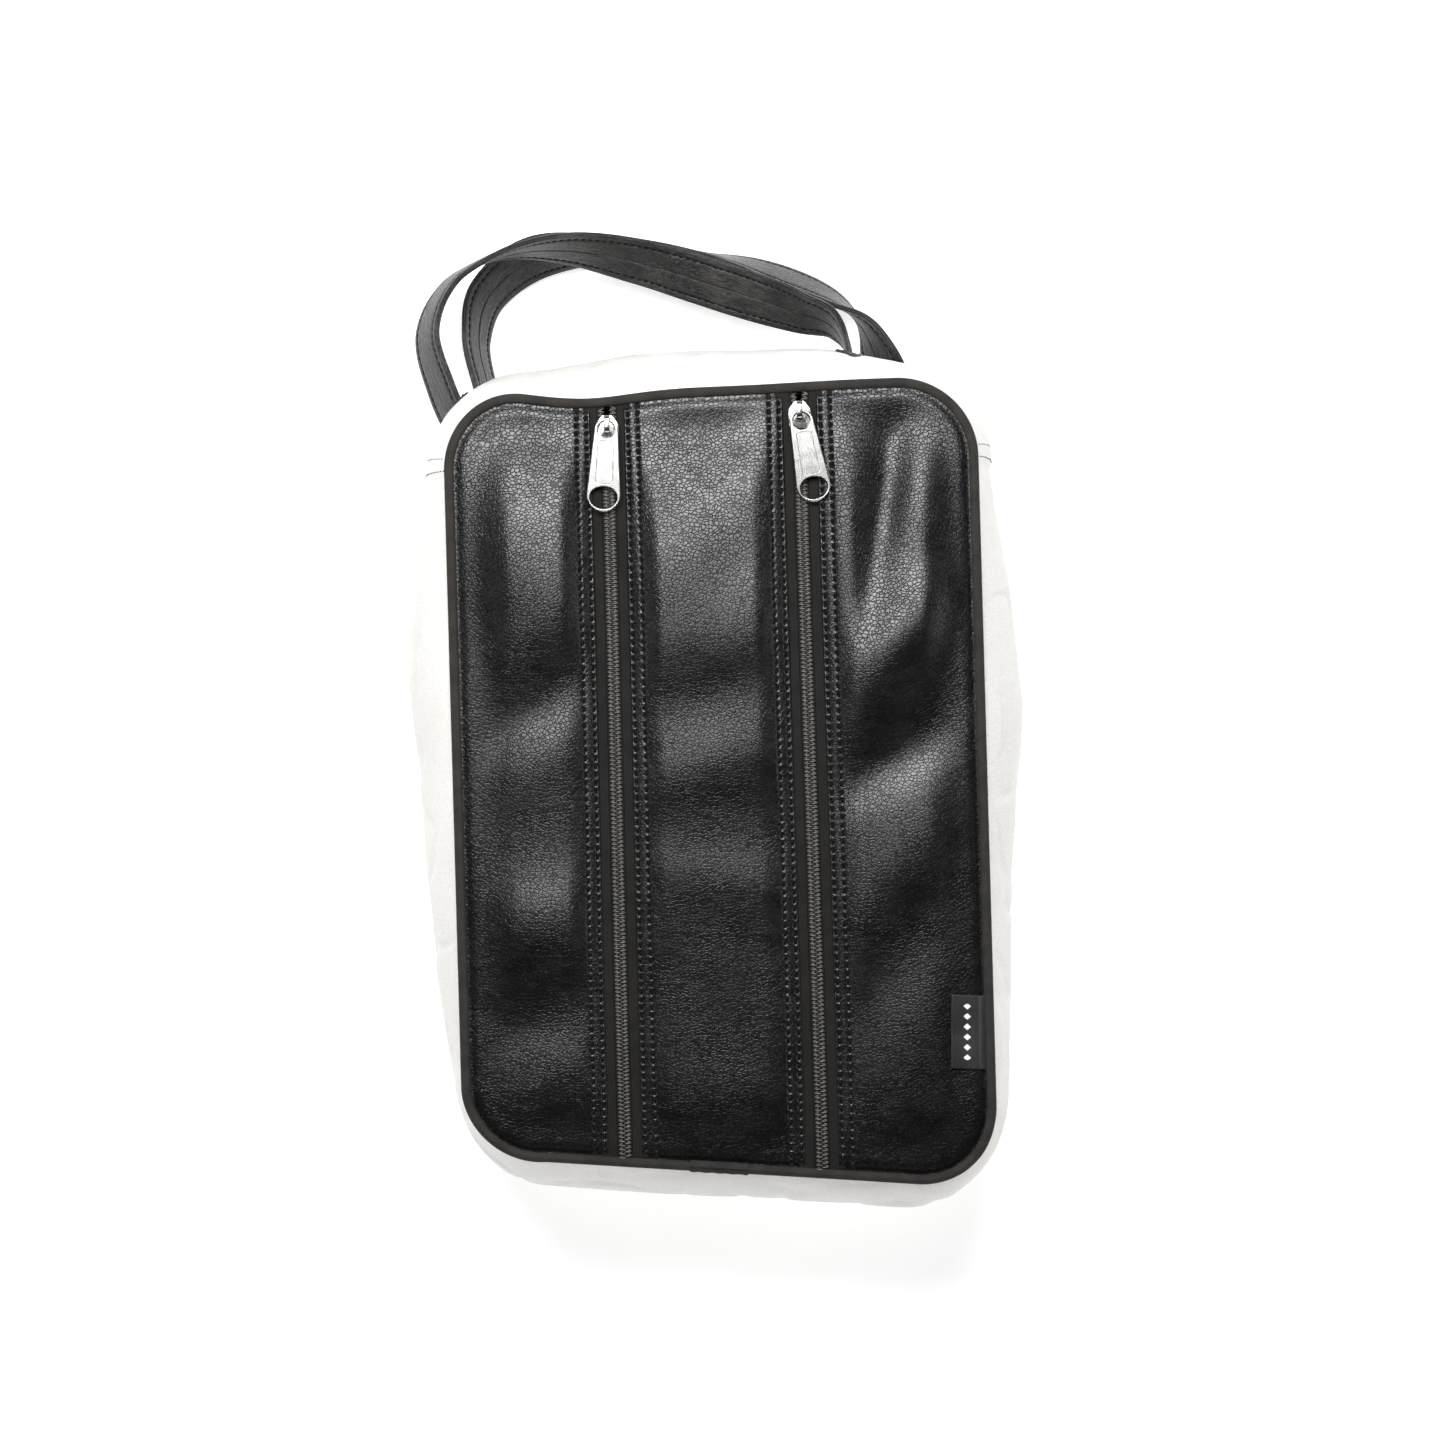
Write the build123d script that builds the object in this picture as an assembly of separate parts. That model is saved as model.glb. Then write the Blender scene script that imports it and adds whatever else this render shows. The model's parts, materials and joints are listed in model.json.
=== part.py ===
from build123d import *
import os

# Zipped shoe bag lying on its back. Millimetres.
# Origin: centre of the back panel's outer face. +Z out through the zipped front,
# +Y towards the handles, +X to the right as seen from the front.

# Shell
SEAM_W = 234.4          # between the piping centrelines, left to right
SEAM_H = 350.4          # between the piping centrelines, bottom to top
CORNER_R = 34.0
DEPTH = 116.0           # back panel's outer face to front panel's outer face
VINYL = 1.6             # backed vinyl
GUSSET_WALL = 1.8
PANEL_INSET = 2.9       # panel edge inside the piping centreline
RIM = 1.5               # turned-in seam allowance of a panel
RIM_DEPTH = 11.0
BULGE_SIDE = 21.0       # how far the gusset stands out past the piping at mid depth
BULGE_TOP = 18.0
BULGE_BOTTOM = 14.0
CORNER_SOFTENING = 1.6  # the bulged gusset's corners are this much rounder per mm of bulge
TOP_STRIP_Y = 144.0     # seam between the top gusset and the body gusset

# Piping
PIPING_R = 2.2
PIPING_CORD_R = 1.3
FRONT_PIPING_Z = 114.8
BACK_PIPING_Z = 2.9
SLEEVE_WALL = 0.6
SLEEVE_LENGTH = 26.0
PIPING_JOIN_X = -5.0    # both piping ends meet here, under the sleeve
PIPING_GAP = 1.0
GUSSET_CLEAR = 2.9      # gusset edge below the piping centreline
BINDING_DEPTH = 9.0
BINDING_INSET = 1.4     # binding's outer face, just inside the gusset's edge

# Zips
ZIP_X = {"left": -46.0, "right": 40.0}
ZIP_SLOT = 15.0         # between the folded panel edges
TAPE_W = 15.3           # one tape half
TAPE_T = 0.6
TAPE_LENGTH = 338.0
CHAIN_GAP = 1.4         # between the two coil halves
COIL_W = 2.4
COIL_H = 1.9
SLIDER_Y = {"left": 158.0, "right": 162.0}
SLIDER_L = 12.5
SLIDER_TOP_W = 10.6
SLIDER_END_W = 8.8
SLIDER_PLATE = 1.2
SLIDER_CLEAR = 0.4      # round the coil and the tape
NECK_W = 0.8
CROWN_W = 2.6
CROWN_LEG = 1.1
CROWN_REACH = 3.2       # crown's centre to the inside of a leg
CROWN_AHEAD = 1.9       # crown's centre ahead of the slider's
CROWN_INNER = 2.8       # crown's inside above the slider's top plate
PULL_T = 1.4
PULL_EYE_R = 5.2
PULL_END_R = 7.5
PULL_WALL = 1.3         # round the eye and round the finger hole
PULL_LENGTH = 41.8
PULL_HOLE_H = 10.0
PULL_POCKET_W = 7.4
PULL_POCKET_DEPTH = 0.25
PULL_YAW = {"left": -4.0, "right": 9.0}
PULL_AHEAD = {"left": 3.9, "right": 1.4}     # bar ahead of the slider's centre: it has play
DIVIDER_X = -3.0
DIVIDER_T = 1.2

# Label
LABEL_SIZE = (13.0, 33.0, 0.7)
LABEL_CENTRE = (108.0, -116.0)

# Handles
STRAP_W = 25.0
STRAP_T = 3.0
CORE_W = 18.0
CORE_T = 1.0
# Stations of a handle from its left root over the crest to its right root:
# x, y, z and the lean of the strap's upper edge away from the bag, in degrees.
# Stations 2 and -3 lie on the swing axis: between them the strap swings.
HANDLES = {
    "front": [
        (-113, 158, 60, -30), (-123, 183, 61, -30), (-128.5, 208, 60, -25), (-118, 231, 54, -15),
        (-94, 244.5, 46, 0), (-66, 247, 40, 25), (-30, 240, 36, 50), (14, 225, 38, 58),
        (42, 214.5, 46, 42), (57, 208, 55, 20), (64, 197, 59, 0), (66, 180, 60, -10),
    ],
    "back": [
        (-99, 162, 28, 15), (-104.5, 186, 28, 20), (-108, 208, 25, 25), (-103, 228, 18, 40),
        (-82, 245, 14, 48), (-46, 249, 14, 20), (-2, 245, 15.5, -5), (36, 233.5, 17, -26),
        (62, 219.5, 21, -16), (73.5, 208, 24, 14), (79, 195, 26, 38), (84, 178, 27.5, 64),
    ],
}

PANEL_TOP_Z = DEPTH
TAPE_TOP_Z = DEPTH - VINYL
COIL_TOP_Z = TAPE_TOP_Z + COIL_H
PLATE_Z = COIL_TOP_Z + SLIDER_CLEAR + SLIDER_PLATE
PULL_AXIS_Z = PLATE_Z + CROWN_INNER / 2


def outline(inset, z=0.0):
    """The seam outline moved inwards by inset."""
    radius = max(CORNER_R - inset, 2.0)
    return Pos(0, 0, z) * RectangleRounded(SEAM_W - 2 * inset, SEAM_H - 2 * inset, radius)


def ring(outer_inset, wall, low, high):
    face = outline(outer_inset, low) - outline(outer_inset + wall, low)
    return extrude(face, high - low)


def box_between(low, high):
    size = [b - a for a, b in zip(low, high)]
    centre = [(a + b) / 2 for a, b in zip(low, high)]
    return Pos(*centre) * Box(*size)


# ---- shell ----

def gusset_block(inset):
    """The bulged body of the bag between its two seams, moved inwards by inset."""
    low = BACK_PIPING_Z + GUSSET_CLEAR
    high = FRONT_PIPING_Z - GUSSET_CLEAR
    sections = []
    for share, bulge in ((0, 0.05), (0.22, 0.72), (0.5, 1.0), (0.78, 0.72), (1, 0.05)):
        side = bulge * BULGE_SIDE - inset
        top = bulge * BULGE_TOP - inset
        bottom = bulge * BULGE_BOTTOM - inset
        radius = CORNER_R + CORNER_SOFTENING * bulge * BULGE_SIDE - inset
        profile = RectangleRounded(SEAM_W + 2 * side, SEAM_H + top + bottom, radius)
        sections.append(Pos(0, (top - bottom) / 2, low + share * (high - low)) * profile)
    return loft(sections)


def gusset():
    return gusset_block(0) - gusset_block(GUSSET_WALL)


def panel(low, high, rim_low, rim_high):
    plate = extrude(outline(PANEL_INSET, low), high - low)
    return plate + ring(PANEL_INSET, RIM, rim_low, rim_high)


def front_panel_strips():
    whole = panel(DEPTH - VINYL, DEPTH, DEPTH - RIM_DEPTH, DEPTH)
    edge = SEAM_W
    half = ZIP_SLOT / 2
    spans = {
        "left": (-edge, ZIP_X["left"] - half),
        "centre": (ZIP_X["left"] + half, ZIP_X["right"] - half),
        "right": (ZIP_X["right"] + half, edge),
    }
    strips = {}
    for name, (x0, x1) in spans.items():
        strips[name] = whole & box_between((x0, -SEAM_H, 0), (x1, SEAM_H, 2 * DEPTH))
    return strips


def piping_path(z):
    """Once round the bag, from one side of the join at the bottom to the other."""
    w, h = SEAM_W / 2, SEAM_H / 2
    start, end = PIPING_JOIN_X - PIPING_GAP / 2, PIPING_JOIN_X + PIPING_GAP / 2
    corners = [(start, -h, z), (-w, -h, z), (-w, h, z), (w, h, z), (w, -h, z), (end, -h, z)]
    return FilletPolyline(*corners, radius=CORNER_R)


def piping(z, outer, inner=0.0):
    path = piping_path(z)
    profile = Circle(outer) - Circle(inner) if inner else Circle(outer)
    return sweep(Plane(path @ 0, z_dir=path % 0) * profile, path=path)


def piping_sleeve(z):
    tube = Cylinder(PIPING_R + SLEEVE_WALL, SLEEVE_LENGTH) - Cylinder(PIPING_R, SLEEVE_LENGTH)
    return Pos(PIPING_JOIN_X, -SEAM_H / 2, z) * Rot(0, 90, 0) * tube


def binding(low):
    return ring(BINDING_INSET, PANEL_INSET - BINDING_INSET, low, low + BINDING_DEPTH)


def divider():
    reach = SEAM_H / 2 - PANEL_INSET - RIM
    return box_between(
        (DIVIDER_X - DIVIDER_T / 2, -reach, VINYL),
        (DIVIDER_X + DIVIDER_T / 2, reach, DEPTH - VINYL),
    )


# ---- zips ----

def beside_chain(centre, side, width, low, high):
    """A long strip on one side (-1 or 1) of a zip's centre line."""
    near = centre + side * CHAIN_GAP / 2
    far = near + side * width
    half = TAPE_LENGTH / 2
    return box_between((min(near, far), -half, low), (max(near, far), half, high))


def coil(centre, side):
    bar = beside_chain(centre, side, COIL_W, TAPE_TOP_Z, COIL_TOP_Z)
    return fillet(bar.edges().filter_by(Axis.Y).group_by(Axis.Z)[-1], 0.6)


def slider_plate(z):
    half = SLIDER_L / 2
    corners = [
        (-SLIDER_END_W / 2, -half), (SLIDER_END_W / 2, -half),
        (SLIDER_TOP_W / 2, half * 0.5), (SLIDER_TOP_W / 4, half),
        (-SLIDER_TOP_W / 4, half), (-SLIDER_TOP_W / 2, half * 0.5),
    ]
    face = make_face(Polyline(*corners, close=True))
    face = fillet(face.vertices(), 1.2)
    return extrude(Pos(0, 0, z) * face, SLIDER_PLATE)


def crown():
    """The bridge over the top plate that traps the pull's bar."""
    length = 2 * (CROWN_REACH + CROWN_LEG)
    height = CROWN_INNER + CROWN_LEG
    arch = Pos(0, CROWN_AHEAD, PLATE_Z + height / 2) * Box(CROWN_W, length, height)
    top = arch.edges().filter_by(Axis.X).group_by(Axis.Z)[-1]
    arch = fillet(top, 1.4)
    inside = Box(CROWN_W, 2 * CROWN_REACH, CROWN_INNER)
    return arch - Pos(0, CROWN_AHEAD, PLATE_Z + CROWN_INNER / 2) * inside


def slider():
    top_low = PLATE_Z - SLIDER_PLATE
    bottom_high = TAPE_TOP_Z - TAPE_T - SLIDER_CLEAR
    body = slider_plate(top_low) + slider_plate(bottom_high - SLIDER_PLATE)
    neck_y = (SLIDER_L * 0.15, SLIDER_L * 0.42)
    body += box_between((-NECK_W / 2, neck_y[0], bottom_high), (NECK_W / 2, neck_y[1], top_low))
    inside = CHAIN_GAP / 2 + COIL_W + SLIDER_CLEAR
    flange_low = TAPE_TOP_Z + SLIDER_CLEAR
    for side in (-1, 1):
        near, far = sorted((side * inside, side * (inside + 0.8)))
        body += box_between(
            (near, -SLIDER_L * 0.42, flange_low), (far, SLIDER_L * 0.3, top_low)
        )
    return body + crown()


def pull():
    """Lies along -Y from its bar, which is centred on the local origin."""
    eye_y = PULL_T / 2 - PULL_EYE_R
    end_y = PULL_T / 2 - PULL_LENGTH + PULL_END_R
    circles = Sketch() + Pos(0, eye_y) * Circle(PULL_EYE_R) + Pos(0, end_y) * Circle(PULL_END_R)
    plate = extrude(Pos(0, 0, -PULL_T / 2) * make_hull(circles.edges()), PULL_T)
    eye = Pos(0, eye_y) * Circle(PULL_EYE_R - PULL_WALL)
    hole_y = PULL_T / 2 - PULL_LENGTH + PULL_WALL + PULL_HOLE_H / 2
    hole = Pos(0, hole_y) * Ellipse(PULL_END_R - PULL_WALL, PULL_HOLE_H / 2)
    for opening in (eye, hole):
        plate -= extrude(Pos(0, 0, -PULL_T) * opening, 2 * PULL_T)
    pocket_top = eye_y - PULL_EYE_R
    pocket_end = hole_y + PULL_HOLE_H / 2 + PULL_WALL
    pocket = Pos(0, (pocket_top + pocket_end) / 2, PULL_T / 2 - PULL_POCKET_DEPTH)
    pocket *= RectangleRounded(PULL_POCKET_W, pocket_top - pocket_end, PULL_WALL)
    return plate - extrude(pocket, PULL_T)


# ---- handles ----

def strap_section(stations, index, width, thickness):
    """A cross-section of the strap at one station, square to the strap's run."""
    x, y, z, lean = stations[index]
    before = Vector(*stations[max(index - 1, 0)][:3])
    after = Vector(*stations[min(index + 1, len(stations) - 1)][:3])
    along = (after - before).normalized()
    outward = Vector(0, 0, 1).cross(along).normalized()
    across = along.cross(outward).rotate(Axis((0, 0, 0), tuple(along)), -lean)
    return Plane(origin=(x, y, z), x_dir=across, z_dir=along) * Rectangle(width, thickness)


def strap_length(stations, first, last, width, thickness):
    sections = [strap_section(stations, i, width, thickness) for i in range(first, last + 1)]
    return loft(sections)


def handle(stations, shell):
    last = len(stations) - 1
    whole = strap_length(stations, 2, last - 2, STRAP_W, STRAP_T)
    core = strap_length(stations, 2, last - 2, CORE_W, CORE_T)
    left = strap_length(stations, 0, 2, STRAP_W, STRAP_T) - shell
    right = strap_length(stations, last - 2, last, STRAP_W, STRAP_T) - shell
    return {"strap": whole - core, "core": core, "root_left": left, "root_right": right}


def build():
    nodes = {}
    for name, strip in front_panel_strips().items():
        nodes["front_panel_" + name] = strip
    nodes["back_panel"] = panel(0, VINYL, 0, RIM_DEPTH)
    walls = gusset()
    reach = SEAM_W + SEAM_H
    nodes["top_gusset"] = walls & box_between((-reach, TOP_STRIP_Y, 0), (reach, reach, DEPTH))
    nodes["body_gusset"] = walls & box_between((-reach, -reach, 0), (reach, TOP_STRIP_Y, DEPTH))
    for face, z in (("front", FRONT_PIPING_Z), ("back", BACK_PIPING_Z)):
        nodes[face + "_piping"] = piping(z, PIPING_R, PIPING_CORD_R)
        nodes[face + "_piping_cord"] = piping(z, PIPING_CORD_R)
        nodes[face + "_piping_sleeve"] = piping_sleeve(z)
    nodes["front_seam_binding"] = binding(FRONT_PIPING_Z - GUSSET_CLEAR - BINDING_DEPTH)
    nodes["back_seam_binding"] = binding(BACK_PIPING_Z + GUSSET_CLEAR)
    nodes["compartment_divider"] = divider()
    for name, x in ZIP_X.items():
        for half, side in (("left", -1), ("right", 1)):
            prefix = f"{name}_zip_"
            tape = beside_chain(x, side, TAPE_W, TAPE_TOP_Z - TAPE_T, TAPE_TOP_Z)
            nodes[f"{prefix}tape_{half}"] = tape
            nodes[f"{prefix}coil_{half}"] = coil(x, side)
        nodes[f"{name}_zip_slider"] = Pos(x, SLIDER_Y[name], 0) * slider()
        bar_y = SLIDER_Y[name] + PULL_AHEAD[name]
        place = Pos(x, bar_y, PULL_AXIS_Z) * Rot(0, 0, PULL_YAW[name])
        nodes[f"{name}_zip_pull"] = place * pull()
    label_z = PANEL_TOP_Z + LABEL_SIZE[2] / 2 + 0.05
    nodes["woven_label"] = Pos(*LABEL_CENTRE, label_z) * Box(*LABEL_SIZE)
    shell = gusset_block(0)
    for name, stations in HANDLES.items():
        for piece, solid in handle(stations, shell).items():
            nodes[f"{name}_handle_{piece}"] = solid
    return nodes


os.makedirs("parts", exist_ok=True)
for node, shape in build().items():
    export_step(shape, f"parts/{node}.step")
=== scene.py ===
import json
from math import cos, pi, radians, sin, tan

import bpy
import numpy as np
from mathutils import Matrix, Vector, noise


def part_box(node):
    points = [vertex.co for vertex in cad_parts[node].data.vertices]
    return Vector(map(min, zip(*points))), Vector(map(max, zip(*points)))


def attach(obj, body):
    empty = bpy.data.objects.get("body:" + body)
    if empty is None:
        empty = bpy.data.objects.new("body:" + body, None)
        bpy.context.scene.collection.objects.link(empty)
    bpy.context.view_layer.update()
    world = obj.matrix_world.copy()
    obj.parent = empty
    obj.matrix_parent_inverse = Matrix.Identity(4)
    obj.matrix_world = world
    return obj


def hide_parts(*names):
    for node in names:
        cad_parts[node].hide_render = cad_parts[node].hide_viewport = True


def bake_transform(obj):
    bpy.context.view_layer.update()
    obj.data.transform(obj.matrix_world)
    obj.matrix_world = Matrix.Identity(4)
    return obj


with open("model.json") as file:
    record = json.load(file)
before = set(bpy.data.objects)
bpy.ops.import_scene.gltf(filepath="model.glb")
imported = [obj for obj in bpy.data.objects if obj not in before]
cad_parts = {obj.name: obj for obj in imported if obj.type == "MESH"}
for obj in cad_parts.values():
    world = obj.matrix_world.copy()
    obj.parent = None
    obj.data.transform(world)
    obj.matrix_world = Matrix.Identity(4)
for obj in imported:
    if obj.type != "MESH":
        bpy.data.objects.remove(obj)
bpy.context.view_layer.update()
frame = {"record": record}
MM = 0.001

# ---------------------------------------------------------------- places read from the frame


def low(node):
    return np.array(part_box(node)[0])


def high(node):
    return np.array(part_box(node)[1])


PIPING_R = (high("front_piping")[2] - low("front_piping")[2]) / 2
HALF_W = (high("front_piping")[0] - low("front_piping")[0]) / 2 - PIPING_R
HALF_H = (high("front_piping")[1] - low("front_piping")[1]) / 2 - PIPING_R
CORNER_R = 34 * MM    # the seam outline's corners, as in the CAD
Z_FRONT = high("front_piping")[2] - PIPING_R
Z_BACK = high("back_piping")[2] - PIPING_R
PANEL_Z = high("front_panel_centre")[2]
TAPE_Z = high("left_zip_tape_left")[2]
COIL_TOP = high("left_zip_coil_left")[2]
ZIP_X = {
    side: (high(f"{side}_zip_tape_left")[0] + low(f"{side}_zip_tape_right")[0]) / 2
    for side in ("left", "right")
}
SLOT = {
    "left": (high("front_panel_left")[0], low("front_panel_centre")[0]),
    "right": (high("front_panel_centre")[0], low("front_panel_right")[0]),
}
SLIDER_Y = {s: (low(f"{s}_zip_slider")[1] + high(f"{s}_zip_slider")[1]) / 2 for s in ZIP_X}
SEAM_Y = low("top_gusset")[1]
JOINTS = {j["name"]: j for j in frame["record"]["behaviour"]["joints"]}

# ---------------------------------------------------------------- mesh helpers


def add_mesh(name, verts, faces, uv=None):
    """verts (n, 3), faces (m, 3 or 4), uv (n, 2) per vertex."""
    verts = np.asarray(verts, dtype=np.float32)
    faces = np.asarray(faces, dtype=np.int32)
    mesh = bpy.data.meshes.new(name)
    mesh.vertices.add(len(verts))
    mesh.vertices.foreach_set("co", verts.ravel())
    corners = faces.shape[1]
    mesh.loops.add(faces.size)
    mesh.loops.foreach_set("vertex_index", faces.ravel())
    mesh.polygons.add(len(faces))
    mesh.polygons.foreach_set("loop_start", np.arange(0, faces.size, corners, dtype=np.int32))
    mesh.update(calc_edges=True)
    mesh.validate()
    if uv is not None:
        layer = mesh.uv_layers.new(name="cloth")
        index = np.empty(len(mesh.loops), dtype=np.int32)
        mesh.loops.foreach_get("vertex_index", index)
        layer.data.foreach_set("uv", np.asarray(uv, dtype=np.float32)[index].ravel())
    mesh.polygons.foreach_set("use_smooth", np.full(len(mesh.polygons), True))
    obj = bpy.data.objects.new(name, mesh)
    bpy.context.collection.objects.link(obj)
    return obj


def grid_faces(rows, cols, wrap_rows=False, wrap_cols=False):
    r = np.arange(rows if wrap_rows else rows - 1)
    c = np.arange(cols if wrap_cols else cols - 1)
    a, b = np.meshgrid(r, c, indexing="ij")
    a2, b2 = (a + 1) % rows, (b + 1) % cols
    quads = np.stack([a * cols + b, a2 * cols + b, a2 * cols + b2, a * cols + b2], axis=-1)
    return quads.reshape(-1, 4)


def add_grid(name, points, uv=None, wrap_rows=False, wrap_cols=False, flip=False):
    """points (rows, cols, 3)."""
    rows, cols = points.shape[:2]
    faces = grid_faces(rows, cols, wrap_rows, wrap_cols)
    if flip:
        faces = faces[:, ::-1]
    flat_uv = None if uv is None else uv.reshape(-1, 2)
    return add_mesh(name, points.reshape(-1, 3), faces, flat_uv)


def unit(v):
    return v / np.maximum(np.linalg.norm(v, axis=-1, keepdims=True), 1e-12)


def tangents(path, closed=False):
    if closed:
        return unit(np.roll(path, -1, axis=0) - np.roll(path, 1, axis=0))
    return unit(np.gradient(path, axis=0))


def tube_grid(path, up, radius, sides, closed=False):
    """Rings of a tube round path. up (n, 3) or (3,) is where each ring starts from."""
    along = tangents(path, closed)
    up = np.broadcast_to(np.asarray(up, dtype=float), path.shape)
    side = unit(np.cross(up, along))
    top = np.cross(along, side)
    angle = np.linspace(0, 2 * pi, sides, endpoint=False)
    ring = np.cos(angle)[None, :, None] * top[:, None] + np.sin(angle)[None, :, None] * side[:, None]
    return path[:, None] + np.asarray(radius).reshape(-1, 1, 1) * ring


def smoothstep(x):
    x = np.clip(x, 0, 1)
    return x * x * (3 - 2 * x)


def bell(x):
    return np.exp(-x * x)


def fractal(points, size, seed=0.0, octaves=3):
    """Smooth noise of about -1 to 1 at each point, with features of this size in metres."""
    flat = np.asarray(points).reshape(-1, 3) / size + seed
    values = [noise.fractal(Vector(p), 1.0, 2.0, octaves) for p in flat]
    return np.array(values).reshape(np.asarray(points).shape[:-1])

# ---------------------------------------------------------------- the settled shape of the soft bag


def seam_line(count, inset=0.0):
    """Points and outward normals round the seam, anticlockwise from the bottom centre."""
    a, b, r = HALF_W - inset, HALF_H - inset, CORNER_R - inset
    flat_x, flat_y = 2 * (a - r), 2 * (b - r)
    arc = pi * r / 2
    lengths = [flat_x / 2, arc, flat_y, arc, flat_x, arc, flat_y, arc, flat_x / 2]
    ends = np.cumsum(lengths)
    s = np.linspace(0, ends[-1], count, endpoint=False)
    points, normals = np.zeros((count, 2)), np.zeros((count, 2))
    corners = {1: (a - r, r - b, -pi / 2), 3: (a - r, b - r, 0),
               5: (r - a, b - r, pi / 2), 7: (r - a, r - b, pi)}
    starts = {0: (0, -b, 1, 0), 2: (a, r - b, 0, 1), 4: (a - r, b, -1, 0),
              6: (-a, b - r, 0, -1), 8: (r - a, -b, 1, 0)}
    for i, end in enumerate(ends):
        begin = end - lengths[i]
        here = (s >= begin) & (s < end)
        t = s[here] - begin
        if i in corners:
            cx, cy, first = corners[i]
            angle = first + t / r
            normals[here] = np.stack([np.cos(angle), np.sin(angle)], axis=1)
            points[here] = np.array([cx, cy]) + r * normals[here]
        else:
            x, y, dx, dy = starts[i]
            points[here] = np.stack([x + dx * t, y + dy * t], axis=1)
            normals[here] = (dy, -dx)
    return points, normals, s


def settle(points):
    """Moves points of the ideal shell to where the soft bag has settled, by a few millimetres."""
    p = np.array(points, dtype=float)
    x, y, z = p[..., 0], p[..., 1], p[..., 2]
    front = smoothstep((z - Z_BACK) / (Z_FRONT - Z_BACK))
    at_bottom = smoothstep((-y - 60 * MM) / (110 * MM)) * front
    at_top = smoothstep((y - 110 * MM) / (60 * MM)) * front
    slope = np.clip(2.7 * MM - 0.088 * (x + 10 * MM), -8 * MM, 9 * MM)
    dip = -5.2 * MM * bell((x + 57 * MM) / (32 * MM)) - 1.6 * MM * bell((x - 5 * MM) / (45 * MM))
    p[..., 1] = y + at_bottom * slope + at_top * dip
    low_down = smoothstep((120 * MM - y) / (260 * MM)) * front
    drift = -0.9 * MM * bell((x + 46 * MM) / (34 * MM)) + 0.9 * MM * bell((x - 40 * MM) / (34 * MM))
    p[..., 0] = x + low_down * drift
    return p


# x, y, half length, half width, turn in degrees and height: mm
FOLDS = [
    (-88, 100, 60, 38, -80, 4.6), (-77, 37, 46, 16, 41, -4.0), (-82, -62, 44, 22, 6, 3.5),
    (-84, -108, 46, 20, 15, -2.4), (-104, 60, 70, 10, 90, -1.0), (-96, 10, 40, 18, 30, 2.0),
    (-4, 74, 70, 58, 0, 5.2), (-8, 38, 46, 15, 12, -1.8), (-6, 4, 46, 15, 16, 1.7),
    (2, -46, 44, 15, -12, 1.3), (-4, -150, 40, 22, 0, 1.2), (10, 92, 30, 16, 60, -1.2),
    (76, 120, 46, 9, 80, -4.0), (97, 118, 46, 13, 86, 3.4), (92, 68, 46, 16, 42, 4.8),
    (80, 10, 50, 14, 30, -3.4), (92, -34, 50, 20, 50, 2.8), (74, -84, 44, 18, 60, -2.6),
    (96, -92, 44, 22, 80, 1.4),
]


def folds(x, y):
    total = np.zeros_like(x)
    for cx, cy, length, width, turn, height in FOLDS:
        c, s = cos(radians(turn)), sin(radians(turn))
        dx, dy = x - cx * MM, y - cy * MM
        u = (dx * c + dy * s) / (length * MM)
        v = (dy * c - dx * s) / (width * MM)
        total += height * MM * np.exp(-u * u - v * v)
    return total


def inside_seam(x, y):
    """How far inside the seam line a point of the front panel is."""
    qx = np.abs(x) - (HALF_W - CORNER_R)
    qy = np.abs(y) - (HALF_H - CORNER_R)
    outside = np.hypot(np.maximum(qx, 0), np.maximum(qy, 0)) + np.minimum(np.maximum(qx, qy), 0)
    return CORNER_R - outside


def zip_distance(x):
    """Distance from the nearer slot edge, positive on the vinyl."""
    gaps = [np.where(x < (a + b) / 2, a - x, x - b) for a, b in SLOT.values()]
    return np.minimum(*gaps)


STITCH_ROWS = (1.7 * MM, 6.2 * MM)      # from the folded edge
STITCH_PITCH = 3.66 * MM


def front_height(x, y):
    """The front panel's outer face: crowned, folded, pulled down along its seams."""
    beside_zip = zip_distance(x)
    from_seam = inside_seam(x, y)
    free = smoothstep(beside_zip / (16 * MM)) * 0.82 + 0.18
    free = free * smoothstep((from_seam - 2 * MM) / (24 * MM))
    crown = 2.6 * MM * smoothstep(from_seam / (45 * MM))
    top_roll = 3.0 * MM * bell((y - 172 * MM) / (46 * MM)) * -1
    z = PANEL_Z + free * (folds(x, y) + crown) + top_roll * smoothstep(beside_zip / (30 * MM)) * free
    z -= 1.1 * MM * bell((from_seam - 2.4 * MM) / (2.6 * MM))
    for row in STITCH_ROWS:
        z -= 0.14 * MM * bell((beside_zip - row) / (0.80 * MM))
    z += 0.12 * MM * bell((beside_zip - sum(STITCH_ROWS) / 2) / (1.5 * MM))
    return z


def stitch_pits(x, y, z):
    """Each stitch pulls a short dent into the vinyl."""
    phase = (y / STITCH_PITCH) % 1.0
    near = np.minimum(phase, 1 - phase) * STITCH_PITCH
    for row in STITCH_ROWS:
        across = bell((zip_distance(x) - row) / (0.70 * MM))
        z = z - 0.80 * MM * across * bell((near / (1.05 * MM)) ** 2)
    return z


# Bulge of the gusset past the seam line, by place along each side: mm
BULGE_LEFT = ([-180, -141, -122, -88, -40, 3, 31, 60, 89, 127, 150, 180],
              [7, 7, 10.8, 14.2, 17.6, 19.8, 22.6, 24.6, 21, 14, 12, 10])
BULGE_RIGHT = ([-180, -148, -119, -72, -24, 5, 28, 52, 81, 119, 150, 180],
               [9, 11, 12.3, 13.6, 16.9, 19.3, 22.8, 20.2, 18, 12.7, 10, 9])
BULGE_TOP = ([-120, -98, -79, -60, -43, 0, 50, 70, 88, 120],
             [10, 12, 14.5, 18, 21.2, 21.2, 20.2, 15.5, 11.5, 10])
BULGE_BOTTOM = ([-120, -82, -42, 6, 50, 77, 100, 120], [8, 13.5, 16.5, 17.5, 19.4, 20.4, 15.5, 10])


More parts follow.
